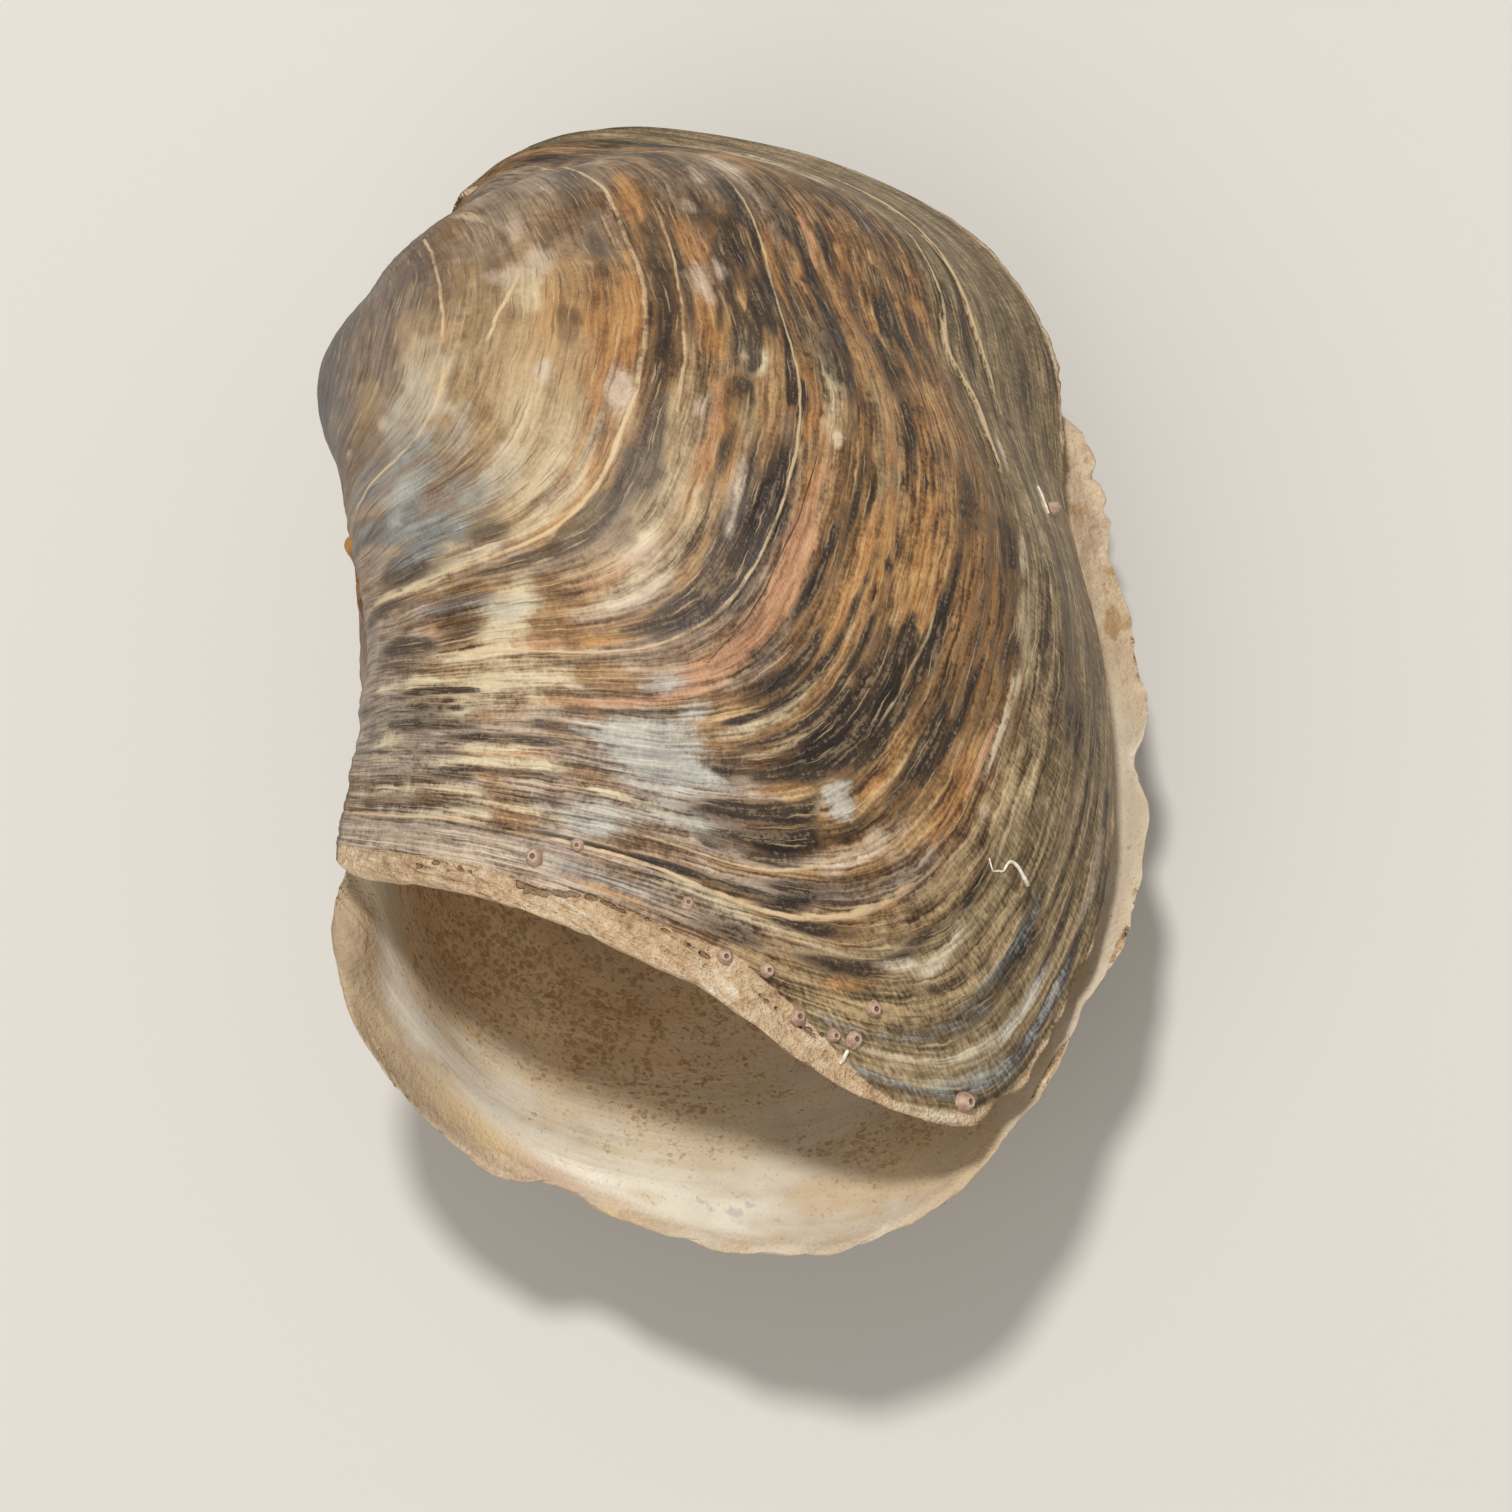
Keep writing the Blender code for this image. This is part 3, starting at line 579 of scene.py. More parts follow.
valveEdges = {
    # growth that is missing at the worn edge, by bearing
    "trim": {
        1: {0: 0.034, 0.4: 0.022, 1: 0.0145, 2.2: 0.0095, 5: 0.009, 8: 0.012, 12: 0.005,
            17: 0.003, 21: 0.007, 24: 0.012, 27: 0.020, 29: 0.014, 32: 0.004, 36: 0.001,
            40: 0.001, 42: 0.003, 44: 0.008, 46: 0.003, 48: 0.007, 50: 0.003, 52.5: 0.008,
            55: 0.003, 58: 0.007, 61: 0.003, 65: 0.008, 70: 0.010, 76: 0.016, 82: 0.018,
            88: 0.012, 92: 0.004, 100: 0.0, 112: 0.004, 120: 0.0, 140: 0.003, 160: 0.0,
            180: 0.004},
        -1: {0: 0.080, 0.4: 0.064, 1.0: 0.046, 2.0: 0.024, 3.2: 0.008, 4.8: -0.001, 8: -0.007,
             11: -0.001, 15: 0.005, 17: 0.012, 19.4: 0.028, 22: 0.031, 24: 0.016, 26: 0.009,
             28.5: -0.001, 30.5: -0.011, 32: -0.007, 34: -0.010, 36: -0.006, 38: 0.003,
             43: 0.009, 47: 0.010, 50: 0.001, 54: 0.001, 57: 0.006, 61: -0.004, 66: -0.003,
             70: 0.0, 73: 0.003, 76: 0.014, 78: 0.005, 80: -0.001, 86: -0.004, 90: -0.003,
             94: 0.003, 96.5: -0.002, 98: 0.003, 99.5: -0.003, 101.3: 0.006, 103.5: -0.005,
             105: 0.002, 106: 0.000, 108: 0.009, 114: 0.002, 130: 0.003, 150: 0.0, 165: 0.005,
             180: 0.002}},
    "chipDepth": 0.0036,
    "chipSpacing": 1.5,      # degrees
    "crumbDepth": 0.0012,
    "crumbSpacing": 0.55,
    # bearing, reach, depth and spacing
    "scallops": {1: (50, 12, 0.0030, 1.1), -1: (94, 14, 0.0042, 0.9)},
    "start": (1.0, 7.0),             # bearing where chips and crumbs begin, and over how much
    "front": (105.0, 15.0, 0.75),    # bearing where they calm down, over how much and by how much
    "seed": {1: 11, -1: 23},
}

reliefSizes = {
    # mm of height, steps per growth and degrees per step
    "swell": (0.35, 17, 26),
    "ridge": (0.13, 62, 13),
    "line": (0.055, 190, 7),
    "crumble": (0.44, 95, 1.1),
    "thread": 0.16,          # mm
    "pit": 0.45,
    # broad swellings: growth, bearing, half height, half width and mm
    "swelling": {1: (0.185, 56, 0.05, 24, 1.2), -1: (0.21, 50, 0.06, 24, -1.2)},
    # ridges where growth halted: growth and mm
    "halts": [(0.300, 0.10), (0.355, 0.12), (0.425, 0.14), (0.482, 0.28), (0.537, 0.16),
              (0.605, 0.30), (0.660, 0.20), (0.705, 0.14), (0.752, 0.22), (0.800, 0.26),
              (0.846, 0.38), (0.880, 0.16), (0.915, 0.24), (0.952, 0.22), (0.985, 0.20)],
    "haltDrift": 0.003,      # growth
    "haltRise": 2.6,         # mm over which a halt rises towards the edge, and drops past it
    "haltDrop": 0.55,
    "rimBlend": 0.006,       # growth
    "start": (-0.5, 5.0),    # bearing where crumbling begins, and over how much
    "front": (100.0, 15.0, 0.8),
    "seed": {1: 100, -1: 200},
    "innerSeed": {1: 300, -1: 400},
}


def liveliness(bearing, start, front):
    # 0 before the start, easing to 1 past it, and calmer again towards the front end
    first, blend = start
    last, fading, calmer = front
    return ease((bearing - first) / blend) * (1.0 - calmer * ease((bearing - last) / fading))


def edgeGrowth(bearing, side):
    # 1 less the worn trim, a chipped rhythm, fine crumbs and scallops
    shape = valveEdges
    trim = smoothTable(bearing, shape["trim"][side])
    seed = shape["seed"][side]
    lively = liveliness(bearing, shape["start"], shape["front"])
    chips = wander(bearing, shape["chipSpacing"], 0.5, seed) * lively
    crumbs = wander(bearing, shape["crumbSpacing"], 0.5, seed + 1) * lively
    middle, wide, deep, spacing = shape["scallops"][side]
    scallops = wander(bearing, spacing, 3.5, seed + 2)
    scallops = deep * np.exp(-((bearing - middle) / wide) ** 2) * np.maximum(scallops, -0.5)
    return (1.0 - trim - shape["chipDepth"] * np.maximum(chips, -0.3)
            - shape["crumbDepth"] * crumbs - scallops)


def relief(growth, bearing, side):
    # height over the spiral in mm: swells + ridges + fine lines + halts + crumbling - pits
    size = reliefSizes
    seed = size["seed"][side]
    ring = ringOf(growth, bearing)

    def waves(kind, along, shift, layers):
        amount, steps, degrees = size[kind]
        return amount * layered(along * steps, bearing / degrees, seed + shift, layers)

    young = np.clip(growth * 1.6, 0.15, 1.0)
    height = young * (waves("swell", ring, 0, 1) + waves("ridge", ring, 1, 2))
    height = height + waves("line", ring, 3, 1) + flare(growth, bearing, side)
    level, middle, high, wide, amount = size["swelling"][side]
    away = ((growth - level) / high) ** 2 + ((bearing - middle) / wide) ** 2
    height = height + amount * np.exp(-away)
    for level, high in size["halts"]:
        drift = size["haltDrift"] * wander(bearing, 8, level * 99, seed + 4)
        away = (ring - level - drift) * spiral["mmPerGrowth"]
        step = np.where(away < 0, np.exp(away / size["haltRise"]), np.exp(-away / size["haltDrop"]))
        vary = 0.75 + 0.45 * wander(bearing, 11, level * 50, seed + 5)
        height = height + high * step * vary * ease((bearing + 2.0) / 8.0)
    if side > 0:
        offset, strength = threadFields(growth, bearing)
        height = height + size["thread"] * strength * np.exp(-0.5 * offset ** 2)
        height = height - size["pit"] * ease(markField(growth, bearing, marks["pit"]) * 1.6 - 0.4)
    rim = ease((growth - straightTable(bearing, zones["rim"][1])) / size["rimBlend"])
    crumbs = waves("crumble", growth, 6, 2) - 0.4 * size["crumble"][0]
    return height + rim * crumbs * liveliness(bearing, size["start"], size["front"])


def valveSheets(side):
    # rows of points from the beak out to the edge, over the lip, and back in along the hollow;
    # each sheet is its points with their growth and bearing
    steps = meshSteps
    beak = math.exp(-spiral["rate"] * math.radians(spiral["beakTurn"]))
    bodyBearing, rimBearing, innerBearing = [
        np.linspace(0.0, 180.0, steps[kind] + 1)[None, :]
        for kind in ("bodyColumns", "rimColumns", "innerColumns")]
    edge = edgeGrowth(rimBearing, side)

    def outer(growth, bearing):
        # the spiral raised by its relief
        growth, bearing = paired(growth, bearing)
        height = relief(growth, bearing, side)[..., None]
        points = outside(growth, bearing, side) + outward(growth, bearing, side) * height
        return points, growth, bearing

    def shoulder(level, bearing):
        # the rows before the edge keep clear of it where it is worn far back
        return np.minimum(level, edgeGrowth(bearing, side) - steps["shoulder"])

    def shares(rows):
        # even steps from 0 to 1, one for each row
        return np.linspace(0.0, 1.0, rows)[:, None]

    bodyEnd = shoulder(steps["rimStart"], bodyBearing)
    bodyGrowth = beak + (bodyEnd - beak) * shares(steps["bodyRows"])
    rimStart = shoulder(steps["rimStart"], rimBearing)
    rimGrowth = rimStart + (edge - rimStart) * shares(steps["rimRows"] + 1)
    body = outer(bodyGrowth[:-1], bodyBearing)
    rim = outer(rimGrowth, rimBearing)

    # the inner lip, then the lip between both: a straight step with a round bulge outwards
    seed = reliefSizes["innerSeed"][side]
    innerShare = shares(steps["innerRimRows"])
    innerRimGrowth = edge + (shoulder(steps["innerStart"], rimBearing) - edge) * innerShare ** 1.3
    facing = outward(np.minimum(innerRimGrowth, 1.0), rimBearing, side)
    lumps = layered(innerRimGrowth * 70, rimBearing / 1.6, seed, 2) * wall["lipLumps"][side]
    innerRim = (inside(innerRimGrowth, rimBearing, side)
                + facing * (lumps * (1 - innerShare))[..., None])
    lipShare = shares(steps["lipRows"] + 2)[1:-1]
    start = rim[0][-1]
    across = innerRim[0] - start
    ahead = unit(outside(edge[0] * 1.01, rimBearing[0], side)
                 - outside(edge[0] * 0.99, rimBearing[0], side))
    rough = 1.0 + 0.35 * ease(rimBearing / 5.0) * layered(
        lipShare * 3 + 0 * rimBearing, rimBearing, seed + 5, 2)
    bulge = (np.sin(np.pi * lipShare) * rough)[..., None] * wall["lipRoundness"] * 0.5
    lip = (start + across * lipShare[..., None]
           + bulge * ahead * np.linalg.norm(across, axis=-1, keepdims=True))

    # the hollow: gentle swells, and a low ridge where the mantle held on
    innerTop = shoulder(steps["innerStart"], innerBearing)
    innerGrowth = innerTop + (beak - innerTop) * shares(steps["innerRows"])[1:]
    gentle = wall["hollowSwell"] * layered(innerGrowth * 14, innerBearing / 14, seed + 9, 2)
    high, level, wide = wall["mantleLine"]
    first, blend = wall["mantleStart"]
    mantle = np.exp(-((innerGrowth - level) / wide) ** 2) * ease((innerBearing - first) / blend)
    gentle = gentle + high * mantle
    innerBody = (inside(innerGrowth, innerBearing, side)
                 - outward(innerGrowth, innerBearing, side) * gentle[..., None])
    return [body, rim, (lip, edge, rimBearing), (innerRim, innerRimGrowth, rimBearing),
            (innerBody, innerGrowth, innerBearing)]


def zipStrip(first, second, firstPlaces=None, secondPlaces=None):
    # triangles between two lines of points that run side by side, matched by their places
    if firstPlaces is None:
        firstPlaces = np.linspace(0.0, 1.0, len(first))
        secondPlaces = np.linspace(0.0, 1.0, len(second))
    atSecond = np.searchsorted(secondPlaces[1:], firstPlaces[1:], side="right")
    atFirst = np.searchsorted(firstPlaces[1:], secondPlaces[1:], side="left")
    one = np.stack([first[:-1], second[atSecond], first[1:]], axis=1)
    two = np.stack([first[atFirst], second[:-1], second[1:]], axis=1)
    both = np.concatenate([one, two])
    whole = (both[:, 0] != both[:, 1]) & (both[:, 1] != both[:, 2]) & (both[:, 2] != both[:, 0])
    return both[whole]


def gridTriangles(index):
    # two triangles for each cell of a grid of point numbers
    a = index[:-1, :-1].ravel()
    b = index[1:, :-1].ravel()
    c = index[1:, 1:].ravel()
    d = index[:-1, 1:].ravel()
    return np.concatenate([np.stack([a, b, c], 1), np.stack([a, c, d], 1)])


def meshFromTriangles(name, points, triangles):
    # a closed skin whose signed volume is negative is inside out, so its triangles are turned
    first, second, third = points[triangles].transpose(1, 0, 2)
    if (first * np.cross(second, third)).sum() < 0.0:
        triangles = triangles[:, ::-1]
    mesh = bpy.data.meshes.new(name)
    mesh.vertices.add(len(points))
    mesh.vertices.foreach_set("co", points.astype(np.float32).ravel())
    mesh.loops.add(len(triangles) * 3)
    mesh.loops.foreach_set("vertex_index", triangles.astype(np.int32).ravel())
    mesh.polygons.add(len(triangles))
    mesh.polygons.foreach_set("loop_start", np.arange(0, len(triangles) * 3, 3, dtype=np.int32))
    mesh.update(calc_edges=True)
    mesh.shade_smooth()
    return mesh


def addPiece(name, mesh, coats, node):
    # puts a finished mesh in the scene with its materials, as the node that it replaces
    piece = bpy.data.objects.new(name, mesh)
    bpy.context.scene.collection.objects.link(piece)
    for coat in coats:
        mesh.materials.append(coat)
    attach(piece, "root")
    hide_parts(node)


def setAttribute(mesh, name, values):
    # a number or a vector for each point
    kind, field = ("FLOAT_VECTOR", "vector") if values.ndim == 2 else ("FLOAT", "value")
    made = mesh.attributes.new(name, kind, "POINT")
    made.data.foreach_set(field, values.astype(np.float32).ravel())


leftMarkTurn = 165.0         # the left valve's marks lie at this bearing less the right one's


def buildValve(name, side):
    # one closed skin: sheets joined row to row, closed at both beaks and along the hinge line
    sheets = valveSheets(side)
    grids = []
    count = 0
    for sheet, *_ in sheets:
        size = sheet[..., 0].size
        grids.append(count + np.arange(size).reshape(sheet.shape[:-1]))
        count += size
    growth, bearing = [
        np.concatenate([np.broadcast_to(sheet[part], sheet[0].shape[:-1]).ravel()
                        for sheet in sheets] + [np.full(2, atPoles)])
        for part, atPoles in ((1, spiral["poleGrowth"]), (2, 90.0))]
    body, rim, lip, innerRim, innerBody = grids
    overLip = np.concatenate([rim, lip, innerRim])

    # both beaks close on a point of the hinge line; the hinge line is closed by a narrow wall
    outerPole = (sheets[0][0][0, 0] + sheets[0][0][0, -1]) / 2.0
    innerPole = (sheets[4][0][-1, 0] + sheets[4][0][-1, -1]) / 2.0
    poles = np.array([count, count + 1])
    points = [sheet[0].reshape(-1, 3) for sheet in sheets] + [np.stack([outerPole, innerPole])]

    # the lip wears the outside's chalk on the right valve and the inside's polish on the left
    lipEnd = len(rim) + (len(lip) if side > 0 else 0)
    outerRows, innerRows = overLip[:lipEnd], overLip[lipEnd - 1:]
    beakRow, hollowRow = body[0], innerBody[-1]
    outerFaces = np.concatenate([
        gridTriangles(body), zipStrip(body[-1], rim[0]), gridTriangles(outerRows),
        np.stack([np.full(len(beakRow) - 1, poles[0]), beakRow[:-1], beakRow[1:]], 1)])
    innerFaces = [
        gridTriangles(innerRows), zipStrip(innerRim[-1], innerBody[0]), gridTriangles(innerBody),
        np.stack([hollowRow[:-1], np.full(len(hollowRow) - 1, poles[1]), hollowRow[1:]], 1)]
    middle = len(lip) // 2
    for column in (0, -1):
        outerLine = np.concatenate([lip[:middle + 1, column][::-1], rim[::-1, column],
                                    body[::-1, column], poles[:1]])
        innerLine = np.concatenate([lip[middle:, column], innerRim[:, column],
                                    innerBody[:, column], poles[1:]])
        places = []
        for line in (outerLine, innerLine):
            place = np.maximum.accumulate(1.0 - growth[line]) + np.arange(len(line)) * 1e-5
            places.append((place - place[0]) / (place[-1] - place[0]))
        strip = zipStrip(outerLine, innerLine, *places)
        innerFaces.append(strip[:, ::-1] if column == 0 else strip)
    triangles = np.concatenate([outerFaces] + innerFaces)

    laidDown = placeRight if side > 0 else placeLeft
    mesh = meshFromTriangles(name, laidDown(np.concatenate(points)), triangles)
    slots = (np.arange(len(triangles)) >= len(outerFaces)).astype(np.int32)
    mesh.polygons.foreach_set("material_index", slots)
    setAttribute(mesh, "linePlace", np.stack([ringOf(growth, bearing), bearing / 180.0, growth], 1))
    turned = bearing if side > 0 else leftMarkTurn - bearing
    for places, where in ((marks, turned), (hollowMarks, bearing)):
        for kind in places:
            setAttribute(mesh, kind, markField(growth, where, places[kind]))
    for kind, (blend, starts) in zones.items():
        away = (growth - straightTable(bearing, starts)) / blend
        setAttribute(mesh, kind, ease(0.5 + away))
    offset, strength = threadFields(growth, bearing)
    setAttribute(mesh, "threadOffset", offset)
    setAttribute(mesh, "threadStrength", strength)
    print(name, len(triangles), "triangles")
    return mesh


def tint(red, green, blue):
    # a display colour from 0 to 255, made linear
    linear = []
    for value in (red, green, blue):
        share = value / 255.0
        linear.append(share / 12.92 if share <= 0.04045 else ((share + 0.055) / 1.055) ** 2.4)
    return (*linear, 1.0)


class Value:
    # a node's output that plain arithmetic can use; each sum adds one Math node
    def __init__(self, coat, output):
        self.coat = coat
        self.output = output

    def __add__(self, other):
        return self.coat.math("ADD", self, other)

    def __sub__(self, other):
        return self.coat.math("SUBTRACT", self, other)

    def __rsub__(self, other):
        return self.coat.math("SUBTRACT", other, self)

    def __mul__(self, other):
        return self.coat.math("MULTIPLY", self, other)

    def __truediv__(self, other):
        return self.coat.math("DIVIDE", self, other)

    __radd__ = __add__
    __rmul__ = __mul__


class Coat:
    # one material; node() is the only way that nodes are made
    def __init__(self, name):
        self.material = bpy.data.materials.new(name)
        self.material.use_nodes = True
        self.tree = self.material.node_tree
        self.tree.nodes.clear()

    def node(self, kind, settings=None, sockets=None, output=0):
        # settings come first, because they change the sockets; then each socket's value or link
        made = self.tree.nodes.new(kind)
        for name, value in (settings or {}).items():
            if name == "stops":
                ramp = made.color_ramp.elements
                for number, (position, colour) in enumerate(value):
                    stop = ramp[number] if number < 2 else ramp.new(position)
                    stop.position = position
                    stop.color = colour
            else:
                setattr(made, name, value)
        for name, value in (sockets or {}).items():
            if isinstance(value, Value):
                self.tree.links.new(value.output, made.inputs[name])
            else:
                made.inputs[name].default_value = value
        return Value(self, made.outputs[output]) if len(made.outputs) else None

    def math(self, operation, first, second):
        # one Math node
        return self.node("ShaderNodeMath", {"operation": operation}, {0: first, 1: second})

    def clamp(self, value):
        # the value kept between 0 and 1
        return self.node("ShaderNodeMath", {"operation": "ADD", "use_clamp": True},
                         {0: value, 1: 0.0})

    def step(self, value, middle, softness):
        # 0 under the middle and 1 over it, with a straight slope that is softness wide
        return self.clamp((value - middle) / softness + 0.5)

    def attribute(self, name, output=2):
        # a number that the mesh carries; output 1 is a vector
        return self.node("ShaderNodeAttribute", {"attribute_name": name}, output=output)

    def here(self):
        # place on the object, in metres
        return self.node("ShaderNodeTexCoord", output=3)

    def split(self, vector):
        # its three numbers
        first = self.node("ShaderNodeSeparateXYZ", None, {0: vector})
        return [Value(self, one) for one in first.output.node.outputs]

    def join(self, x, y, z):
        # three numbers as a vector
        return self.node("ShaderNodeCombineXYZ", None, {0: x, 1: y, 2: z})

    def noise(self, vector, scale, detail=2.0, roughness=0.5, distortion=0.0):
        # soft noise from -0.5 to 0.5
        return self.node("ShaderNodeTexNoise", None, {
            "Vector": vector, "Scale": scale, "Detail": detail, "Roughness": roughness,
            "Distortion": distortion}) - 0.5

    def cells(self, vector, scale):
        # distance from the nearest of many scattered points
        return self.node("ShaderNodeTexVoronoi", {"feature": "F1"},
                         {"Vector": vector, "Scale": scale, "Randomness": 1.0})

    def ramp(self, value, *stops):
        # each stop: a place from 0 to 1 and a display colour
        stops = [(place, tint(*colour)) for place, colour in stops]
        return self.node("ShaderNodeValToRGB", {"stops": stops}, {0: value})

    def mix(self, factor, under, over):
        # over is another mix or ramp, or a display colour
        over = over if isinstance(over, Value) else tint(*over)
        return self.node("ShaderNodeMix", {"data_type": "RGBA"}, {0: factor, 6: under, 7: over},
                         output=2)

    def finish(self, colour, roughness, bumps=(), specular=0.5):
        # bumps: height and how many metres high 1 is
        sockets = {"Base Color": colour, "Roughness": roughness, "Specular IOR Level": specular}
        below = {}
        for height, distance in bumps:
            normal = self.node("ShaderNodeBump", None, {
                "Height": height, "Distance": distance, "Strength": 1.0, **below})
            below = {"Normal": normal}
        shader = self.node("ShaderNodeBsdfPrincipled", None, {**sockets, **below})
        self.node("ShaderNodeOutputMaterial", None, {0: shader})
        return self.material


# display colours of each coat from its darkest to its lightest streaks
coatRamps = {
    "ochre": ((0.0, (44, 32, 22)), (0.25, (80, 58, 37)), (0.45, (116, 86, 55)),
              (0.62, (143, 110, 72)), (0.8, (168, 135, 94)), (1.0, (194, 166, 124))),
    "slate": ((0.0, (64, 56, 50)), (0.3, (108, 95, 84)), (0.5, (143, 127, 112)),
              (0.7, (168, 150, 133)), (1.0, (198, 180, 160))),
    "steel": ((0.0, (44, 46, 47)), (0.3, (78, 80, 80)), (0.55, (118, 119, 117)),
              (0.8, (152, 151, 146)), (1.0, (184, 181, 171))),
    "olive": ((0.0, (58, 47, 34)), (0.3, (96, 80, 55)), (0.5, (122, 103, 74)),
              (0.7, (144, 124, 92)), (1.0, (180, 160, 128))),
    "gold": ((0.0, (98, 78, 52)), (0.3, (138, 115, 84)), (0.55, (168, 143, 106)),
             (0.8, (188, 165, 126)), (1.0, (204, 185, 151))),
    "dark": ((0.0, (20, 16, 13)), (0.4, (40, 32, 26)), (0.7, (66, 53, 41)), (1.0, (114, 92, 66))),
    "cream": ((0.0, (150, 128, 96)), (0.3, (182, 163, 130)), (0.6, (200, 184, 152)),
              (1.0, (210, 199, 172))),
    "orange": ((0.0, (98, 64, 36)), (0.3, (138, 95, 56)), (0.6, (172, 126, 76)),
               (1.0, (202, 164, 114))),
    "salmon": ((0.0, (124, 84, 58)), (0.5, (174, 129, 94)), (1.0, (202, 164, 130))),
    # pale: scars and chalky patches, and painted highlight on the early shell
    "pale": ((0.0, (148, 128, 108)), (0.4, (178, 158, 136)), (0.7, (196, 177, 154)),
             (1.0, (212, 198, 178))),
    "mist": ((0.0, (112, 108, 100)), (0.4, (158, 155, 145)), (0.7, (183, 179, 167)),
             (1.0, (204, 199, 187))),
    "rim": ((0.0, (128, 98, 68)), (0.3, (172, 142, 108)), (0.55, (192, 164, 130)),
            (0.8, (204, 182, 152)), (1.0, (216, 201, 178))),
}


# how far streaks eat into each coat's outline, how soft its edge is and how much it covers
coatLayers = {
    "slate": (1.3, 0.7, 0.9), "olive": (0.8, 0.5, 0.95), "gold": (1.4, 0.7, 0.95),
    "orange": (1.6, 0.6, 0.9), "salmon": (1.4, 0.6, 0.92), "cream": (1.9, 1.0, 0.88),
    "dark": (1.9, 0.45, 1.0), "steel": (1.5, 0.7, 0.88), "pale": (1.6, 0.8, 0.88),
    "mist": (1.8, 1.0, 0.85),
}


def outsideCoat(name, seed):
    # coats laid over each other where their field, made ragged by streaks, passes one half;
    # tone, which picks each coat's shade, adds up streaks along the growth lines and specks
    coat = Coat(name)
    ring, turn, growth = coat.split(coat.attribute("linePlace", 1))
    here = coat.here()
    blotch = coat.noise(here, 105.0, 4.0, 0.6)
    mottle = coat.noise(here, 430.0, 3.0, 0.65)
    grain = coat.noise(here, 1900.0, 2.0, 0.6)
    wavy = ring + blotch * 0.010 + mottle * 0.0035
    lively = coat.clamp(growth * 2.4 - 0.75) * 0.70 + 0.30    # the early shell is smooth and calm
    firm = lively * 0.65 + 0.35
    dim = coat.clamp(0.46 - growth * 1.2) + coat.clamp(turn * 4.0 - 1.2) * 0.045

    def streaks(across, along, shift, detail=2.0):
        # noise drawn out along the growth lines
        lines = coat.join(wavy * across, turn * firm * along, seed + shift)
        return coat.noise(lines, 1.0, detail)

    broad = streaks(26, 6, 0)
    middle = streaks(90, 15, 3, 3.0)
    fine = streaks(300, 36, 6)
    hair = streaks(110, 800, 9, 1.0)
    olive = coat.attribute("olive")
    ragged = (broad * 0.5 + blotch * 1.1
              + (middle * 1.1 + fine * 0.7 + mottle * 0.6 + grain * 0.3 + hair * 0.2) * lively)
    lines = broad * firm * 0.9 + (middle * 1.15 + fine * 1.2) * lively
    specks = (blotch * 0.5 + mottle * 0.6 + grain * 0.6 + hair * (0.08 + olive * 0.75)) * lively
    tone = coat.clamp(0.51 - dim + lines + specks)

    def reach(kind, wobble, softness, most):
        # streaks eat into a mark's outline and leave its middle and the shell far from it whole
        own = coat.attribute(kind)
        field = own + ragged * own * coat.clamp(1.35 - own) * (2.4 * wobble)
        return coat.clamp((field - 0.5) * firm / softness + 0.5) * coat.clamp(own * 3.0) * most

    colour = coat.ramp(tone, *coatRamps["ochre"])
    for kind, layer in coatLayers.items():
        cover = reach(kind, *layer)
        if kind == "dark":
            cover = cover * (coat.clamp(growth * 3.2 - 1.0) * 0.6 + 0.4)
        colour = coat.mix(cover, colour, coat.ramp(tone, *coatRamps[kind]))
        if kind == "dark":
            # the dark coat is thin on the early shell and crumbles into small pale flakes
            flakes = coat.step(mottle * 0.6 + grain * 0.9 + fine * 1.4, 0.14, 0.12) * lively
            colour = coat.mix(flakes * cover * 0.36, colour, (142, 122, 96))

    # single pale and dark growth lines
    spark = streaks(420, 34, 20, 1.0)
    colour = coat.mix(coat.step(spark, 0.17, 0.08) * 0.42, colour, (196, 170, 130))
    colour = coat.mix(coat.step(spark * -1.0, 0.15, 0.08) * 0.42, colour, (54, 43, 34))

    # threads: the nearest one's profile, cut off outside its width
    offset = coat.attribute("threadOffset")
    strength = coat.attribute("threadStrength")
    profile = 1.0 - coat.step(coat.math("ABSOLUTE", offset + fine * 2.2 + mottle * 1.8, 0.0),
                              1.05, 0.9)
    broken = coat.step(middle + mottle + blotch * 0.6, -0.15, 0.4)
    colour = coat.mix(coat.clamp(profile * strength * broken * 0.9), colour, (200, 174, 136))
    colour = coat.mix(coat.clamp(profile * strength * -1.0), colour, (62, 43, 31))

    # the bare chalky rim, then pits where cells open in it, painted dark inside: painted shade in
    # the pits
    rimMask = coat.step(coat.attribute("rim") + ragged * 0.35, 0.5, 0.16)
    chalk = coat.noise(here, 700.0, 3.0, 0.6)
    chalkTone = coat.clamp(0.66 + chalk * 1.2 + grain * 0.7 + blotch * 1.4 + mottle * 0.5
                           - coat.clamp(turn * 10.0) * 0.10)
    colour = coat.mix(rimMask, colour, coat.ramp(chalkTone, *coatRamps["rim"]))
    pits = coat.attribute("pit") + 0.34 - coat.cells(here, 800.0) * 1.2 + mottle * 0.6
    pit = coat.step(pits, 0.5, 0.16)
    # painted shade: the pits darkened to brown over their shallow dip
    colour = coat.mix(pit * 0.62, colour, (98, 72, 46))

    roughness = coat.clamp(0.50 + rimMask * 0.3 + grain * 0.25 + middle * 0.2)
    bumps = [(fine + middle * 0.8, 0.00018), (hair * 0.5 + grain * 0.7 + mottle * 0.8, 0.00012),
             (rimMask * (chalk + grain), 0.0004), (pit * -1.0, 0.0005)]
    return coat.finish(colour, roughness, bumps, specular=0.27)


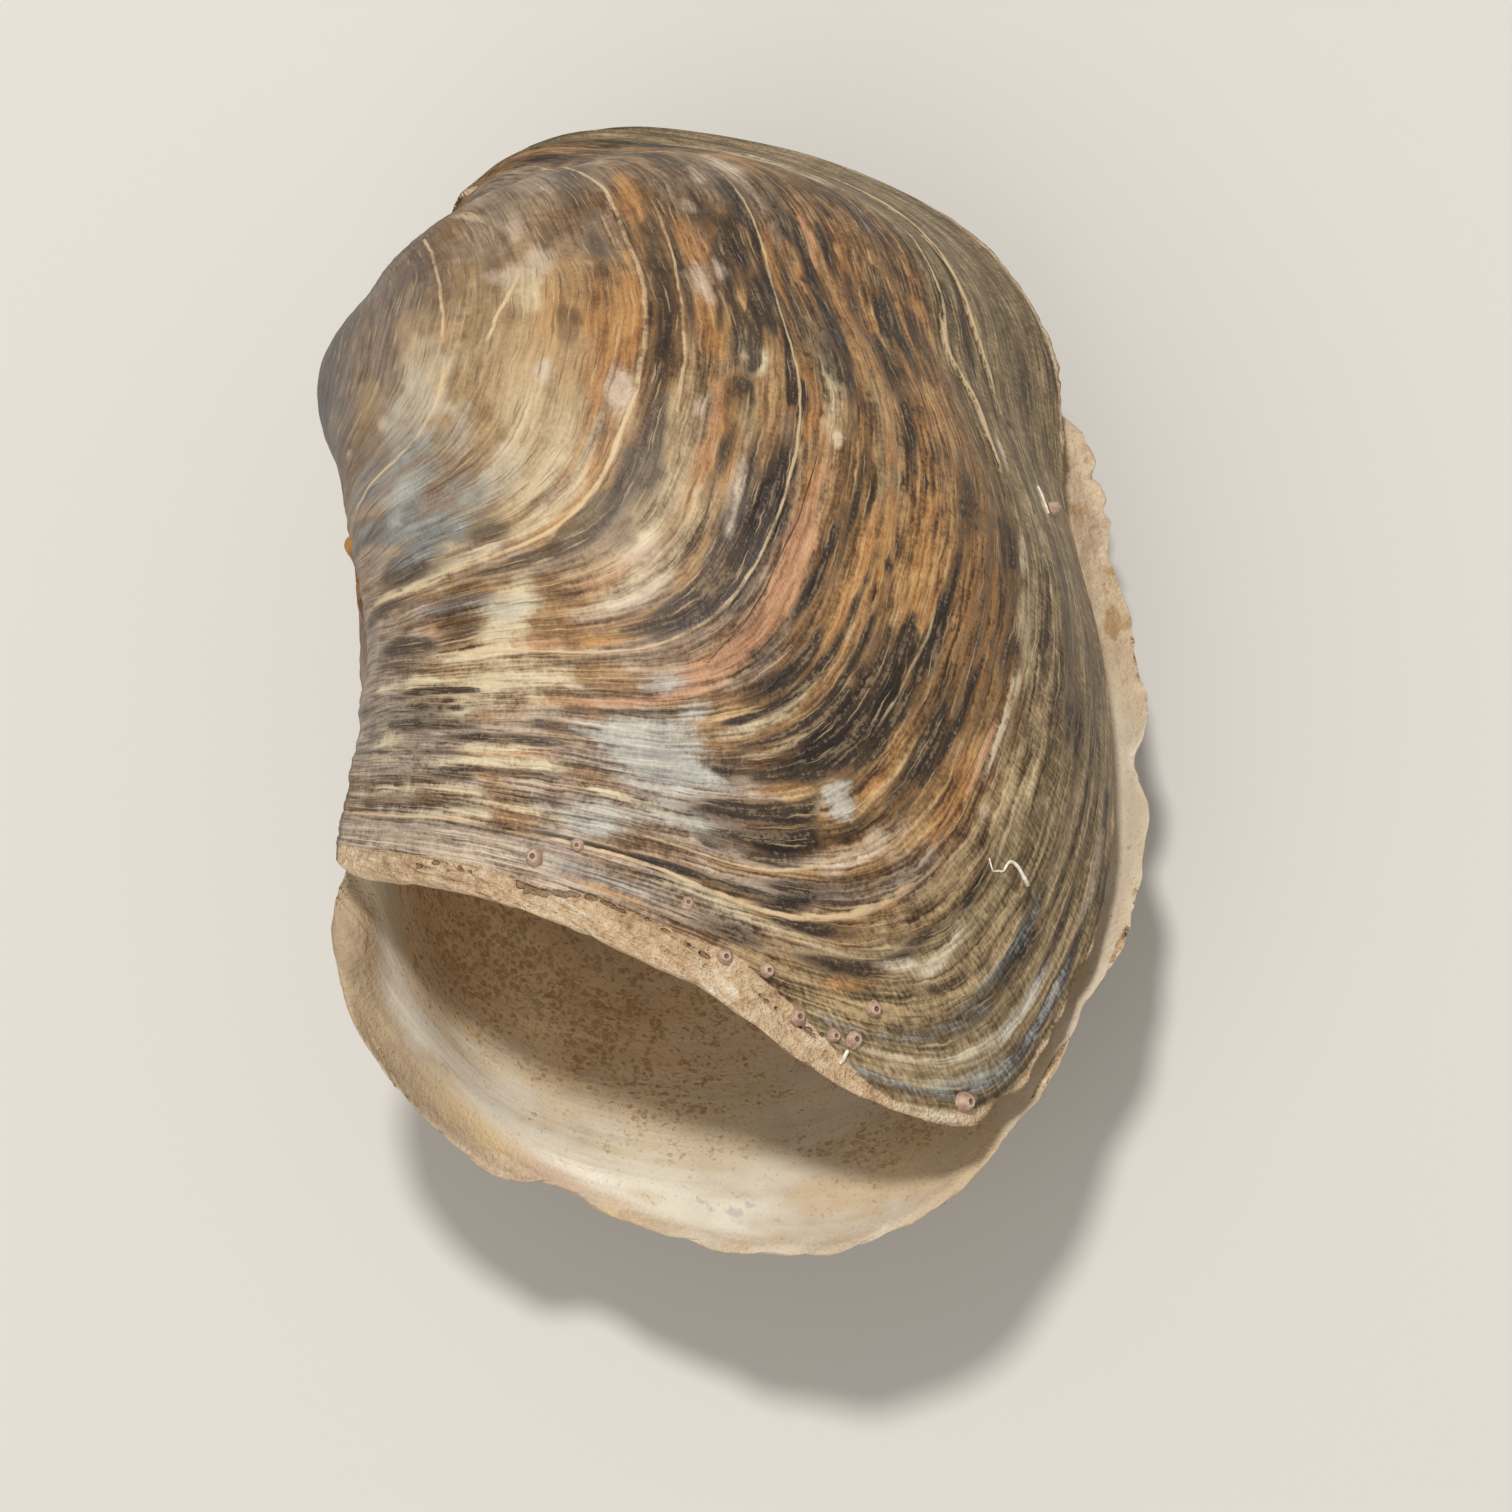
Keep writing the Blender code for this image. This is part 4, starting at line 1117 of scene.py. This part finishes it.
def insideCoat(name, seed):
    # polished cream under ochre grains, with a tan margin at the edge, and a tan wash of painted
    # warm shade where the front valve's shadow falls
    coat = Coat(name)
    ring, turn, growth = coat.split(coat.attribute("linePlace", 1))
    here = coat.here()
    cloud = coat.noise(here, 60.0, 3.0, 0.5)
    mottle = coat.noise(here, 380.0, 3.0, 0.6)
    grain = coat.noise(here, 1700.0, 2.0, 0.6)
    bands = coat.noise(coat.join(ring * 60, turn * 8, seed), 1.0, 2.0)
    tone = coat.clamp(0.62 + cloud * 1.3 + bands * 0.6 + mottle * 0.4 + grain * 0.35)
    colour = coat.ramp(tone, (0.0, (176, 159, 134)), (0.5, (205, 194, 174)),
                       (1.0, (221, 214, 200)))
    margin = coat.step(coat.attribute("margin") + cloud * 1.3 + mottle * 0.5, 0.5, 0.9)
    belly = coat.clamp(turn * 6.0 - 2.2)
    chalk = coat.noise(here, 640.0, 3.0, 0.65)
    tan = coat.ramp(coat.clamp(tone - 0.04 + (mottle + grain) * 0.8 + bands * 0.9
                               + (cloud * 1.2 + chalk * 1.4) * belly),
                    (0.0, (132, 99, 70)), (0.5, (172, 143, 110)), (1.0, (204, 182, 150)))
    colour = coat.mix(coat.clamp(margin * 0.85 + belly * 0.7), colour, tan)
    for kind, wobble, softness, share, over in (
            ("honey", cloud * 1.2 + mottle * 0.8, 0.8, 0.5, (206, 176, 122)),
            ("dusk", cloud + mottle * 0.6 + bands * 0.8, 0.8, 0.7, (144, 122, 95)),
            ("blush", cloud * 1.2 + mottle * 1.2, 0.6, 0.38, (184, 144, 122)),
            ("spot", mottle * 1.2 + cloud * 0.6, 0.3, 0.9, (140, 100, 56)),
            ("scratch", mottle * 1.4 + grain * 0.8, 0.25, 0.45, (140, 138, 136))):
        cover = coat.step(coat.attribute(kind) + wobble, 0.5, softness)
        colour = coat.mix(cover * share, colour, over)

    # ochre grains crowd where the stain field is strong; the same field lays a tan wash over the
    # hollow where the front valve's shadow falls, painted warm shade
    stain = coat.attribute("stain")
    x, y, z = coat.split(here)
    shift = mottle * 0.0016
    grains = coat.cells(coat.join(x + shift, y - shift, z), 950.0)
    patches = coat.noise(here, 210.0, 4.0, 0.75)
    crowd = coat.clamp(stain + patches * 3.2 + mottle * 1.6 - 0.40)
    spots = coat.step(crowd * 0.60 - grains, 0.06, 0.20) * coat.step(grain + mottle, -0.07, 0.15)
    # the wash is lighter and warmer deeper in the hollow, under growth 0.86, where the front
    # valve's shadow lies: painted bounce light that brightens that shade
    warm = coat.ramp(tone, (0.0, (168, 138, 96)), (0.6, (203, 175, 134)),
                     (1.0, (216, 196, 160)))
    paintedBounceTan = coat.ramp(tone, (0.0, (196, 156, 100)), (0.6, (232, 196, 144)),
                       (1.0, (240, 214, 172)))
    warm = coat.mix(coat.clamp(8.6 - growth * 10.0), warm, paintedBounceTan)
    colour = coat.mix(coat.clamp(stain * 0.8 + cloud * 0.6) * 0.75, colour, warm)
    colour = coat.mix(spots * 0.55, colour, (164, 126, 74))
    speckle = coat.step(grain + patches * 0.3 + stain * 0.10, 0.17, 0.1)
    colour = coat.mix(speckle * 0.3, colour, (120, 86, 50))
    roughness = coat.clamp(0.42 + spots * 0.2 + margin * 0.2 + cloud * 0.2)
    bumps = [(bands * 0.5 + cloud, 0.00025), (grain * 0.5 + mottle * 0.6 - spots * 0.5, 0.00010),
             ((chalk + grain * 0.6) * coat.clamp(margin + belly), 0.00028)]
    return coat.finish(colour, roughness, bumps, specular=0.4)


barnacleShape = {
    # growth, bearing, base radius and height in mm
    "places": [(0.884, 19.5, 1.05, 0.9), (0.847, 23.7, 0.80, 0.5), (0.877, 29.6, 0.80, 0.4),
               (0.923, 30.2, 0.95, 0.9), (0.918, 32.6, 0.90, 0.7), (0.952, 33.2, 1.05, 0.8),
               (0.954, 34.9, 0.85, 0.8), (0.952, 36.0, 1.05, 0.9), (0.921, 38.3, 1.05, 1.1),
               (0.984, 41.0, 1.20, 1.3), (0.935, 84.2, 1.00, 1.2)],
    "plates": 6,
    "ribs": 0.05,            # how deep the joints between plates are, as a share of the radius
    "rough": 0.05,
    "lean": 0.16,            # how far the opening sits off the middle
    "leanTurn": 2.4,         # radians that the lean turns from one barnacle to the next
    # share of the radius and of the height, from the foot over the lip into the crater
    "profile": [(0.0, -0.35), (0.6, -0.35), (1.0, -0.30), (1.06, -0.10), (1.02, 0.15),
                (0.95, 0.40), (0.85, 0.63), (0.72, 0.83), (0.58, 0.96), (0.46, 1.02),
                (0.37, 1.0), (0.32, 0.93), (0.29, 0.82), (0.22, 0.72), (0.0, 0.68)],
    "sides": 48,
}


def surfaceFrame(growth, bearing):
    # a point of the right valve's relief in its shell frame, its normal and two axes along it
    growth, bearing = paired(growth, bearing)
    normal = outward(growth, bearing, 1)
    seat = outside(growth, bearing, 1) + normal * relief(growth, bearing, 1)[..., None]
    along = unit(np.cross((0.0, 0.0, 1.0), normal))
    return seat, normal, along, np.cross(normal, along)


def closedTube(points):
    # rings of points whose first and last ring are single points: one closed skin
    rings, sides = points.shape[0] - 2, points.shape[1]
    index = 1 + np.arange(rings * sides).reshape(rings, sides)
    around = np.concatenate([index, index[:, :1]], axis=1)
    last = 1 + rings * sides
    triangles = np.concatenate([
        np.stack([np.zeros(sides, int), around[0, :-1], around[0, 1:]], 1),
        gridTriangles(around),
        np.stack([around[-1, :-1], np.full(sides, last), around[-1, 1:]], 1)])
    flat = np.concatenate([points[:1, 0], points[1:-1].reshape(-1, 3), points[-1:, 0]])
    return flat, triangles


def buildBarnacle(number, growth, bearing, radius, height):
    # turned profile; its radius swells by a cosine of six times the turn and a little noise
    shape = barnacleShape
    seat, normal, first, second = surfaceFrame(growth, bearing)
    out, up = np.array(shape["profile"]).T[..., None]
    turn = fullTurn(shape["sides"])
    share = np.linspace(0.0, 1.0, len(out))
    plates = 1.0 - shape["ribs"] * np.abs(np.cos(turn * shape["plates"] / 2.0 + number)) ** 8
    noise = shape["rough"] * lattice(turn * 3.2 + 7.0, share[:, None] * 9.0, 500 + number)
    wide = out * radius * (plates + noise)
    leaning = shape["lean"] * radius * np.clip(up, 0.0, 1.0)
    toFirst = wide * np.cos(turn) + leaning * math.cos(number * shape["leanTurn"])
    toSecond = wide * np.sin(turn) + leaning * math.sin(number * shape["leanTurn"])
    points = (seat + toFirst[..., None] * first + toSecond[..., None] * second
              + (up * height + 0 * turn)[..., None] * normal)
    flat, triangles = closedTube(points)
    mesh = meshFromTriangles(f"barnacle{number}", placeRight(flat), triangles)
    inward = np.concatenate([[0.0], np.repeat(share[1:-1], shape["sides"]), [1.0]])
    setAttribute(mesh, "inward", inward)
    return mesh


def barnacleCoat():
    # dull mauve lime with a paler lip and a dark opening, by how far inward the profile has run
    coat = Coat("barnacleLime")
    here = coat.here()
    cloud = coat.noise(here, 900.0, 2.0)
    grain = coat.noise(here, 3200.0, 2.0, 0.6)
    inward = coat.attribute("inward")
    colour = coat.ramp(coat.clamp(0.5 + cloud * 1.8 + grain * 0.8),
                       (0.0, (136, 104, 88)), (0.5, (166, 136, 116)),
                       (1.0, (196, 170, 146)))
    lip = coat.step(inward, 0.60, 0.1) * (1.0 - coat.step(inward, 0.76, 0.08))
    colour = coat.mix(lip * 0.35, colour, (200, 178, 152))
    colour = coat.mix(coat.step(inward, 0.80, 0.08), colour, (112, 86, 70))
    return coat.finish(colour, coat.clamp(0.62 + grain * 0.2), [(cloud + grain, 0.00012)])


wormTubes = {
    # growth, bearing and radius in mm of the points that each tube passes
    "routes": [
        [(0.873, 51.3, 0.10), (0.880, 51.0, 0.11), (0.885, 51.4, 0.13), (0.889, 51.8, 0.16),
         (0.890, 52.5, 0.20), (0.897, 52.9, 0.23), (0.906, 52.9, 0.27), (0.914, 52.9, 0.24)],
        [(0.963, 35.3, 0.22), (0.970, 34.9, 0.25), (0.978, 34.5, 0.20)],
        [(0.910, 84.7, 0.15), (0.914, 83.6, 0.18), (0.918, 82.6, 0.15)],
    ],
    "ringsPerPoint": 14,
    "sides": 16,
    "bore": 0.62,            # inner radius as a share of the outer one
    "rough": 0.10,
    "sunk": 0.25,            # how deep the tube is sunk in the shell, as a share of its radius
}


def buildTube(number, route):
    # a circle carried along a smooth line on the shell, with a hollow mouth at its far end
    count = (len(route) - 1) * wormTubes["ringsPerPoint"] + 1
    where = np.linspace(0.0, len(route) - 1.0, count)
    growth, bearing, radius = throughPoints(where, route)
    radius = radius * (1.0 + wormTubes["rough"] * lattice(where * 5.0, where * 0, 600 + number))
    seat, normal, *_ = surfaceFrame(growth, bearing)
    centre = seat + normal * (radius * (1.0 - wormTubes["sunk"]))[:, None]
    ahead = unit(np.gradient(centre, axis=0))
    across = unit(np.cross(ahead, normal))
    rise = np.cross(across, ahead)
    turn = fullTurn(wormTubes["sides"])[..., None]

    def rings(share, some):
        # circles at a share of the radius round some of the centres
        reach = (radius * share)[some, None, None]
        return (centre[some, None] + np.cos(turn) * across[some, None] * reach
                + np.sin(turn) * rise[some, None] * reach)

    every = np.arange(count)
    back = every[::-1][:wormTubes["ringsPerPoint"]]
    points = np.concatenate([rings(0.0, every[:1]), rings(0.5, every[:1]), rings(1.0, every[1:]),
                             rings(wormTubes["bore"], back), rings(0.0, back[-1:])])
    flat, triangles = closedTube(points)
    return meshFromTriangles(f"wormTube{number}", placeRight(flat), triangles)


def tubeCoat():
    # white lime, clouded
    coat = Coat("wormTubeLime")
    here = coat.here()
    cloud = coat.noise(here, 1500.0, 2.0)
    colour = coat.ramp(coat.clamp(0.6 + cloud * 1.8), (0.0, (176, 158, 132)),
                       (0.6, (218, 208, 190)), (1.0, (232, 226, 214)))
    return coat.finish(colour, coat.clamp(0.55 + cloud * 0.3), [(cloud, 0.00010)])


ligamentShape = {
    # Y of the station, centre X and Z, half width in X and Z, in mm of the shell frame
    "stations": [(-13.0, -6.6, -0.5, 0.7, 0.4), (-17.5, -5.2, -0.1, 1.7, 0.7),
                 (-22.0, -4.2, -0.1, 2.3, 1.5), (-25.8, -4.2, -0.3, 2.7, 2.1),
                 (-29.0, -3.5, -0.6, 2.3, 1.9), (-33.5, -2.8, -1.0, 1.9, 1.7),
                 (-38.0, -1.6, -1.2, 0.9, 0.9)],
    "rings": 120,
    "sides": 64,
    "wrinkle": 0.10,         # share of the half width
    "taper": 0.35,           # stations over which each end closes
    # dried beads on the outer side: Y, half length and how far each sticks out, in mm
    "beads": [(-25.6, 1.5, 1.0), (-22.4, 0.9, 1.1)],
}


def buildLigament(name):
    # an oval carried through the stations, wrinkled along its length
    shape = ligamentShape
    where = np.linspace(0.0, len(shape["stations"]) - 1.0, shape["rings"])[:, None]
    y, x, z, wideX, wideZ = throughPoints(where, shape["stations"])
    turn = fullTurn(shape["sides"])
    folds = layered(np.cos(turn) * 4.0 + np.sin(turn) * 3.1 + 20, where * 1.2, 700, 3)
    cracks = np.exp(-(lattice(where * 2.6 + 0 * turn, turn * 1.3, 710) / 0.10) ** 2)
    swell = 1.0 + shape["wrinkle"] * (folds * 0.8 - cracks * 0.8)
    swell = swell * ease(where / shape["taper"]) * ease((where[-1] - where) / shape["taper"])
    bead = 0.0 * (y + turn)
    for place, long, out in shape["beads"]:
        swelling = np.exp(-((y - place) / long) ** 2) * ease(-np.cos(turn) * 1.6)
        x = x - out * swelling
        bead = np.maximum(bead, swelling)
    points = np.stack([x + np.cos(turn) * wideX * swell, y + 0 * turn,
                       z + np.sin(turn) * wideZ * swell], axis=-1)
    flat, triangles = closedTube(points)
    mesh = meshFromTriangles(name, placeRight(flat), triangles)
    setAttribute(mesh, "bead", np.concatenate([[0.0], bead[1:-1].ravel(), [0.0]]))
    return mesh


def ligamentCoat():
    # brown fibres, with amber where the beads are
    coat = Coat("driedLigament")
    here = coat.here()
    cloud = coat.noise(here, 420.0, 3.0, 0.6)
    fibre = coat.noise(here, 1600.0, 2.0, 0.6, 0.6)
    colour = coat.ramp(coat.clamp(0.45 + cloud * 1.6 + fibre * 0.8),
                       (0.0, (46, 28, 16)), (0.4, (104, 66, 32)),
                       (0.7, (152, 104, 56)), (1.0, (190, 146, 92)))
    amber = coat.step(coat.attribute("bead"), 0.4, 0.5)
    colour = coat.mix(amber * 0.8, colour, (172, 124, 48))
    return coat.finish(colour, coat.clamp(0.40 + fibre * 0.5), [(cloud + fibre * 0.6, 0.00025)])


for side, name, seed in ((1, "right", 3.0), (-1, "left", 17.0)):
    addPiece(name + "Valve", buildValve(name + "Valve", side),
             [outsideCoat(name + "Outside", seed), insideCoat(name + "Inside", seed + 2.0)],
             name + "_valve")
print("valves built")

lime = barnacleCoat()
for number, figures in enumerate(barnacleShape["places"], 1):
    addPiece(f"barnacle{number}", buildBarnacle(number, *figures), [lime],
             f"barnacle_{number:02d}")
tubeLime = tubeCoat()
for number, route in enumerate(wormTubes["routes"], 1):
    addPiece(f"wormTube{number}", buildTube(number, route), [tubeLime],
             f"worm_tube_{number}")
addPiece("ligament", buildLigament("ligamentBand"), [ligamentCoat()], "ligament")
print("small pieces built")


studio = {
    "floorSize": 6.0,
    "floorColour": (200, 196, 189),
    # shares of the camera's back, up and right directions; distance, size and power
    "keyAim": (math.cos(math.radians(25.0)), math.sin(math.radians(25.0)),
               math.tan(math.radians(-6.0))),
    "key": (1.3, 0.13, 12.8),
    "fillAim": (0.8, -0.5, -0.4),
    "fill": (1.6, 1.6, 8.0),
    "air": 0.56,             # strength of the light from all around
    "airColour": (240, 237, 231),
}

camera = {
    "place": (0.049388, -0.114538, 0.626697),
    "elevation": 79.12,
    "azimuth": 23.62,
    "roll": -16.53,
    "lens": 109.084,
    "sensor": 36.0,
}


def cameraAxes():
    # right, up and towards-the-camera directions, the first two turned by the roll
    elevation, azimuth, roll = [
        math.radians(camera[key]) for key in ("elevation", "azimuth", "roll")]
    back = np.array([math.sin(azimuth) * math.cos(elevation),
                     -math.cos(azimuth) * math.cos(elevation), math.sin(elevation)])
    level = np.array([math.cos(azimuth), math.sin(azimuth), 0.0])
    up = np.cross(back, level)
    right = level * math.cos(roll) + up * math.sin(roll)
    return right, np.cross(back, right), back


def aimed(name, data, place, back, up):
    # an object that looks against back and holds up upright
    right = unit(np.cross(up, back))
    thing = bpy.data.objects.new(name, data)
    bpy.context.scene.collection.objects.link(thing)
    turn = Matrix([list(right), list(np.cross(back, right)), list(back)]).transposed()
    thing.matrix_world = Matrix.Translation(place) @ turn.to_4x4()
    return thing


def addArea(kind, target, right, up, back):
    # a round light at its distance from the target, in its direction
    toBack, toUp, toRight = studio[kind + "Aim"]
    direction = unit(back * toBack + up * toUp + right * toRight)
    distance, size, power = studio[kind]
    light = bpy.data.lights.new(kind + "Light", "AREA")
    light.shape = "DISK"
    light.size = size
    light.energy = power
    aimed(kind + "Light", light, target + direction * distance, direction, up)


def buildStudio():
    # the camera, a key and a fill light, the light of the air and the floor
    right, up, back = cameraAxes()
    lens = bpy.data.cameras.new("camera")
    lens.lens = camera["lens"]
    lens.sensor_width = camera["sensor"]
    lens.clip_start = 0.01
    bpy.context.scene.camera = aimed("camera", lens, np.array(camera["place"]), back, up)

    centre = (np.array(cadBox[0]) + np.array(cadBox[1])) / 2.0
    for kind in ("key", "fill"):
        addArea(kind, centre, right, up, back)

    world = bpy.data.worlds.new("air")
    world.use_nodes = True
    background = world.node_tree.nodes["Background"]
    background.inputs["Color"].default_value = tint(*studio["airColour"])
    background.inputs["Strength"].default_value = studio["air"]
    bpy.context.scene.world = world
    bpy.context.scene.view_settings.view_transform = "Standard"

    half = studio["floorSize"] / 2.0
    mesh = bpy.data.meshes.new("floor")
    mesh.from_pydata([(-half, -half, 0), (half, -half, 0), (half, half, 0), (-half, half, 0)],
                     [], [(0, 1, 2, 3)])
    mesh.materials.append(Coat("paleFloor").finish(tint(*studio["floorColour"]), 0.8))
    floor = bpy.data.objects.new("floor", mesh)
    bpy.context.scene.collection.objects.link(floor)


buildStudio()
print("studio set")
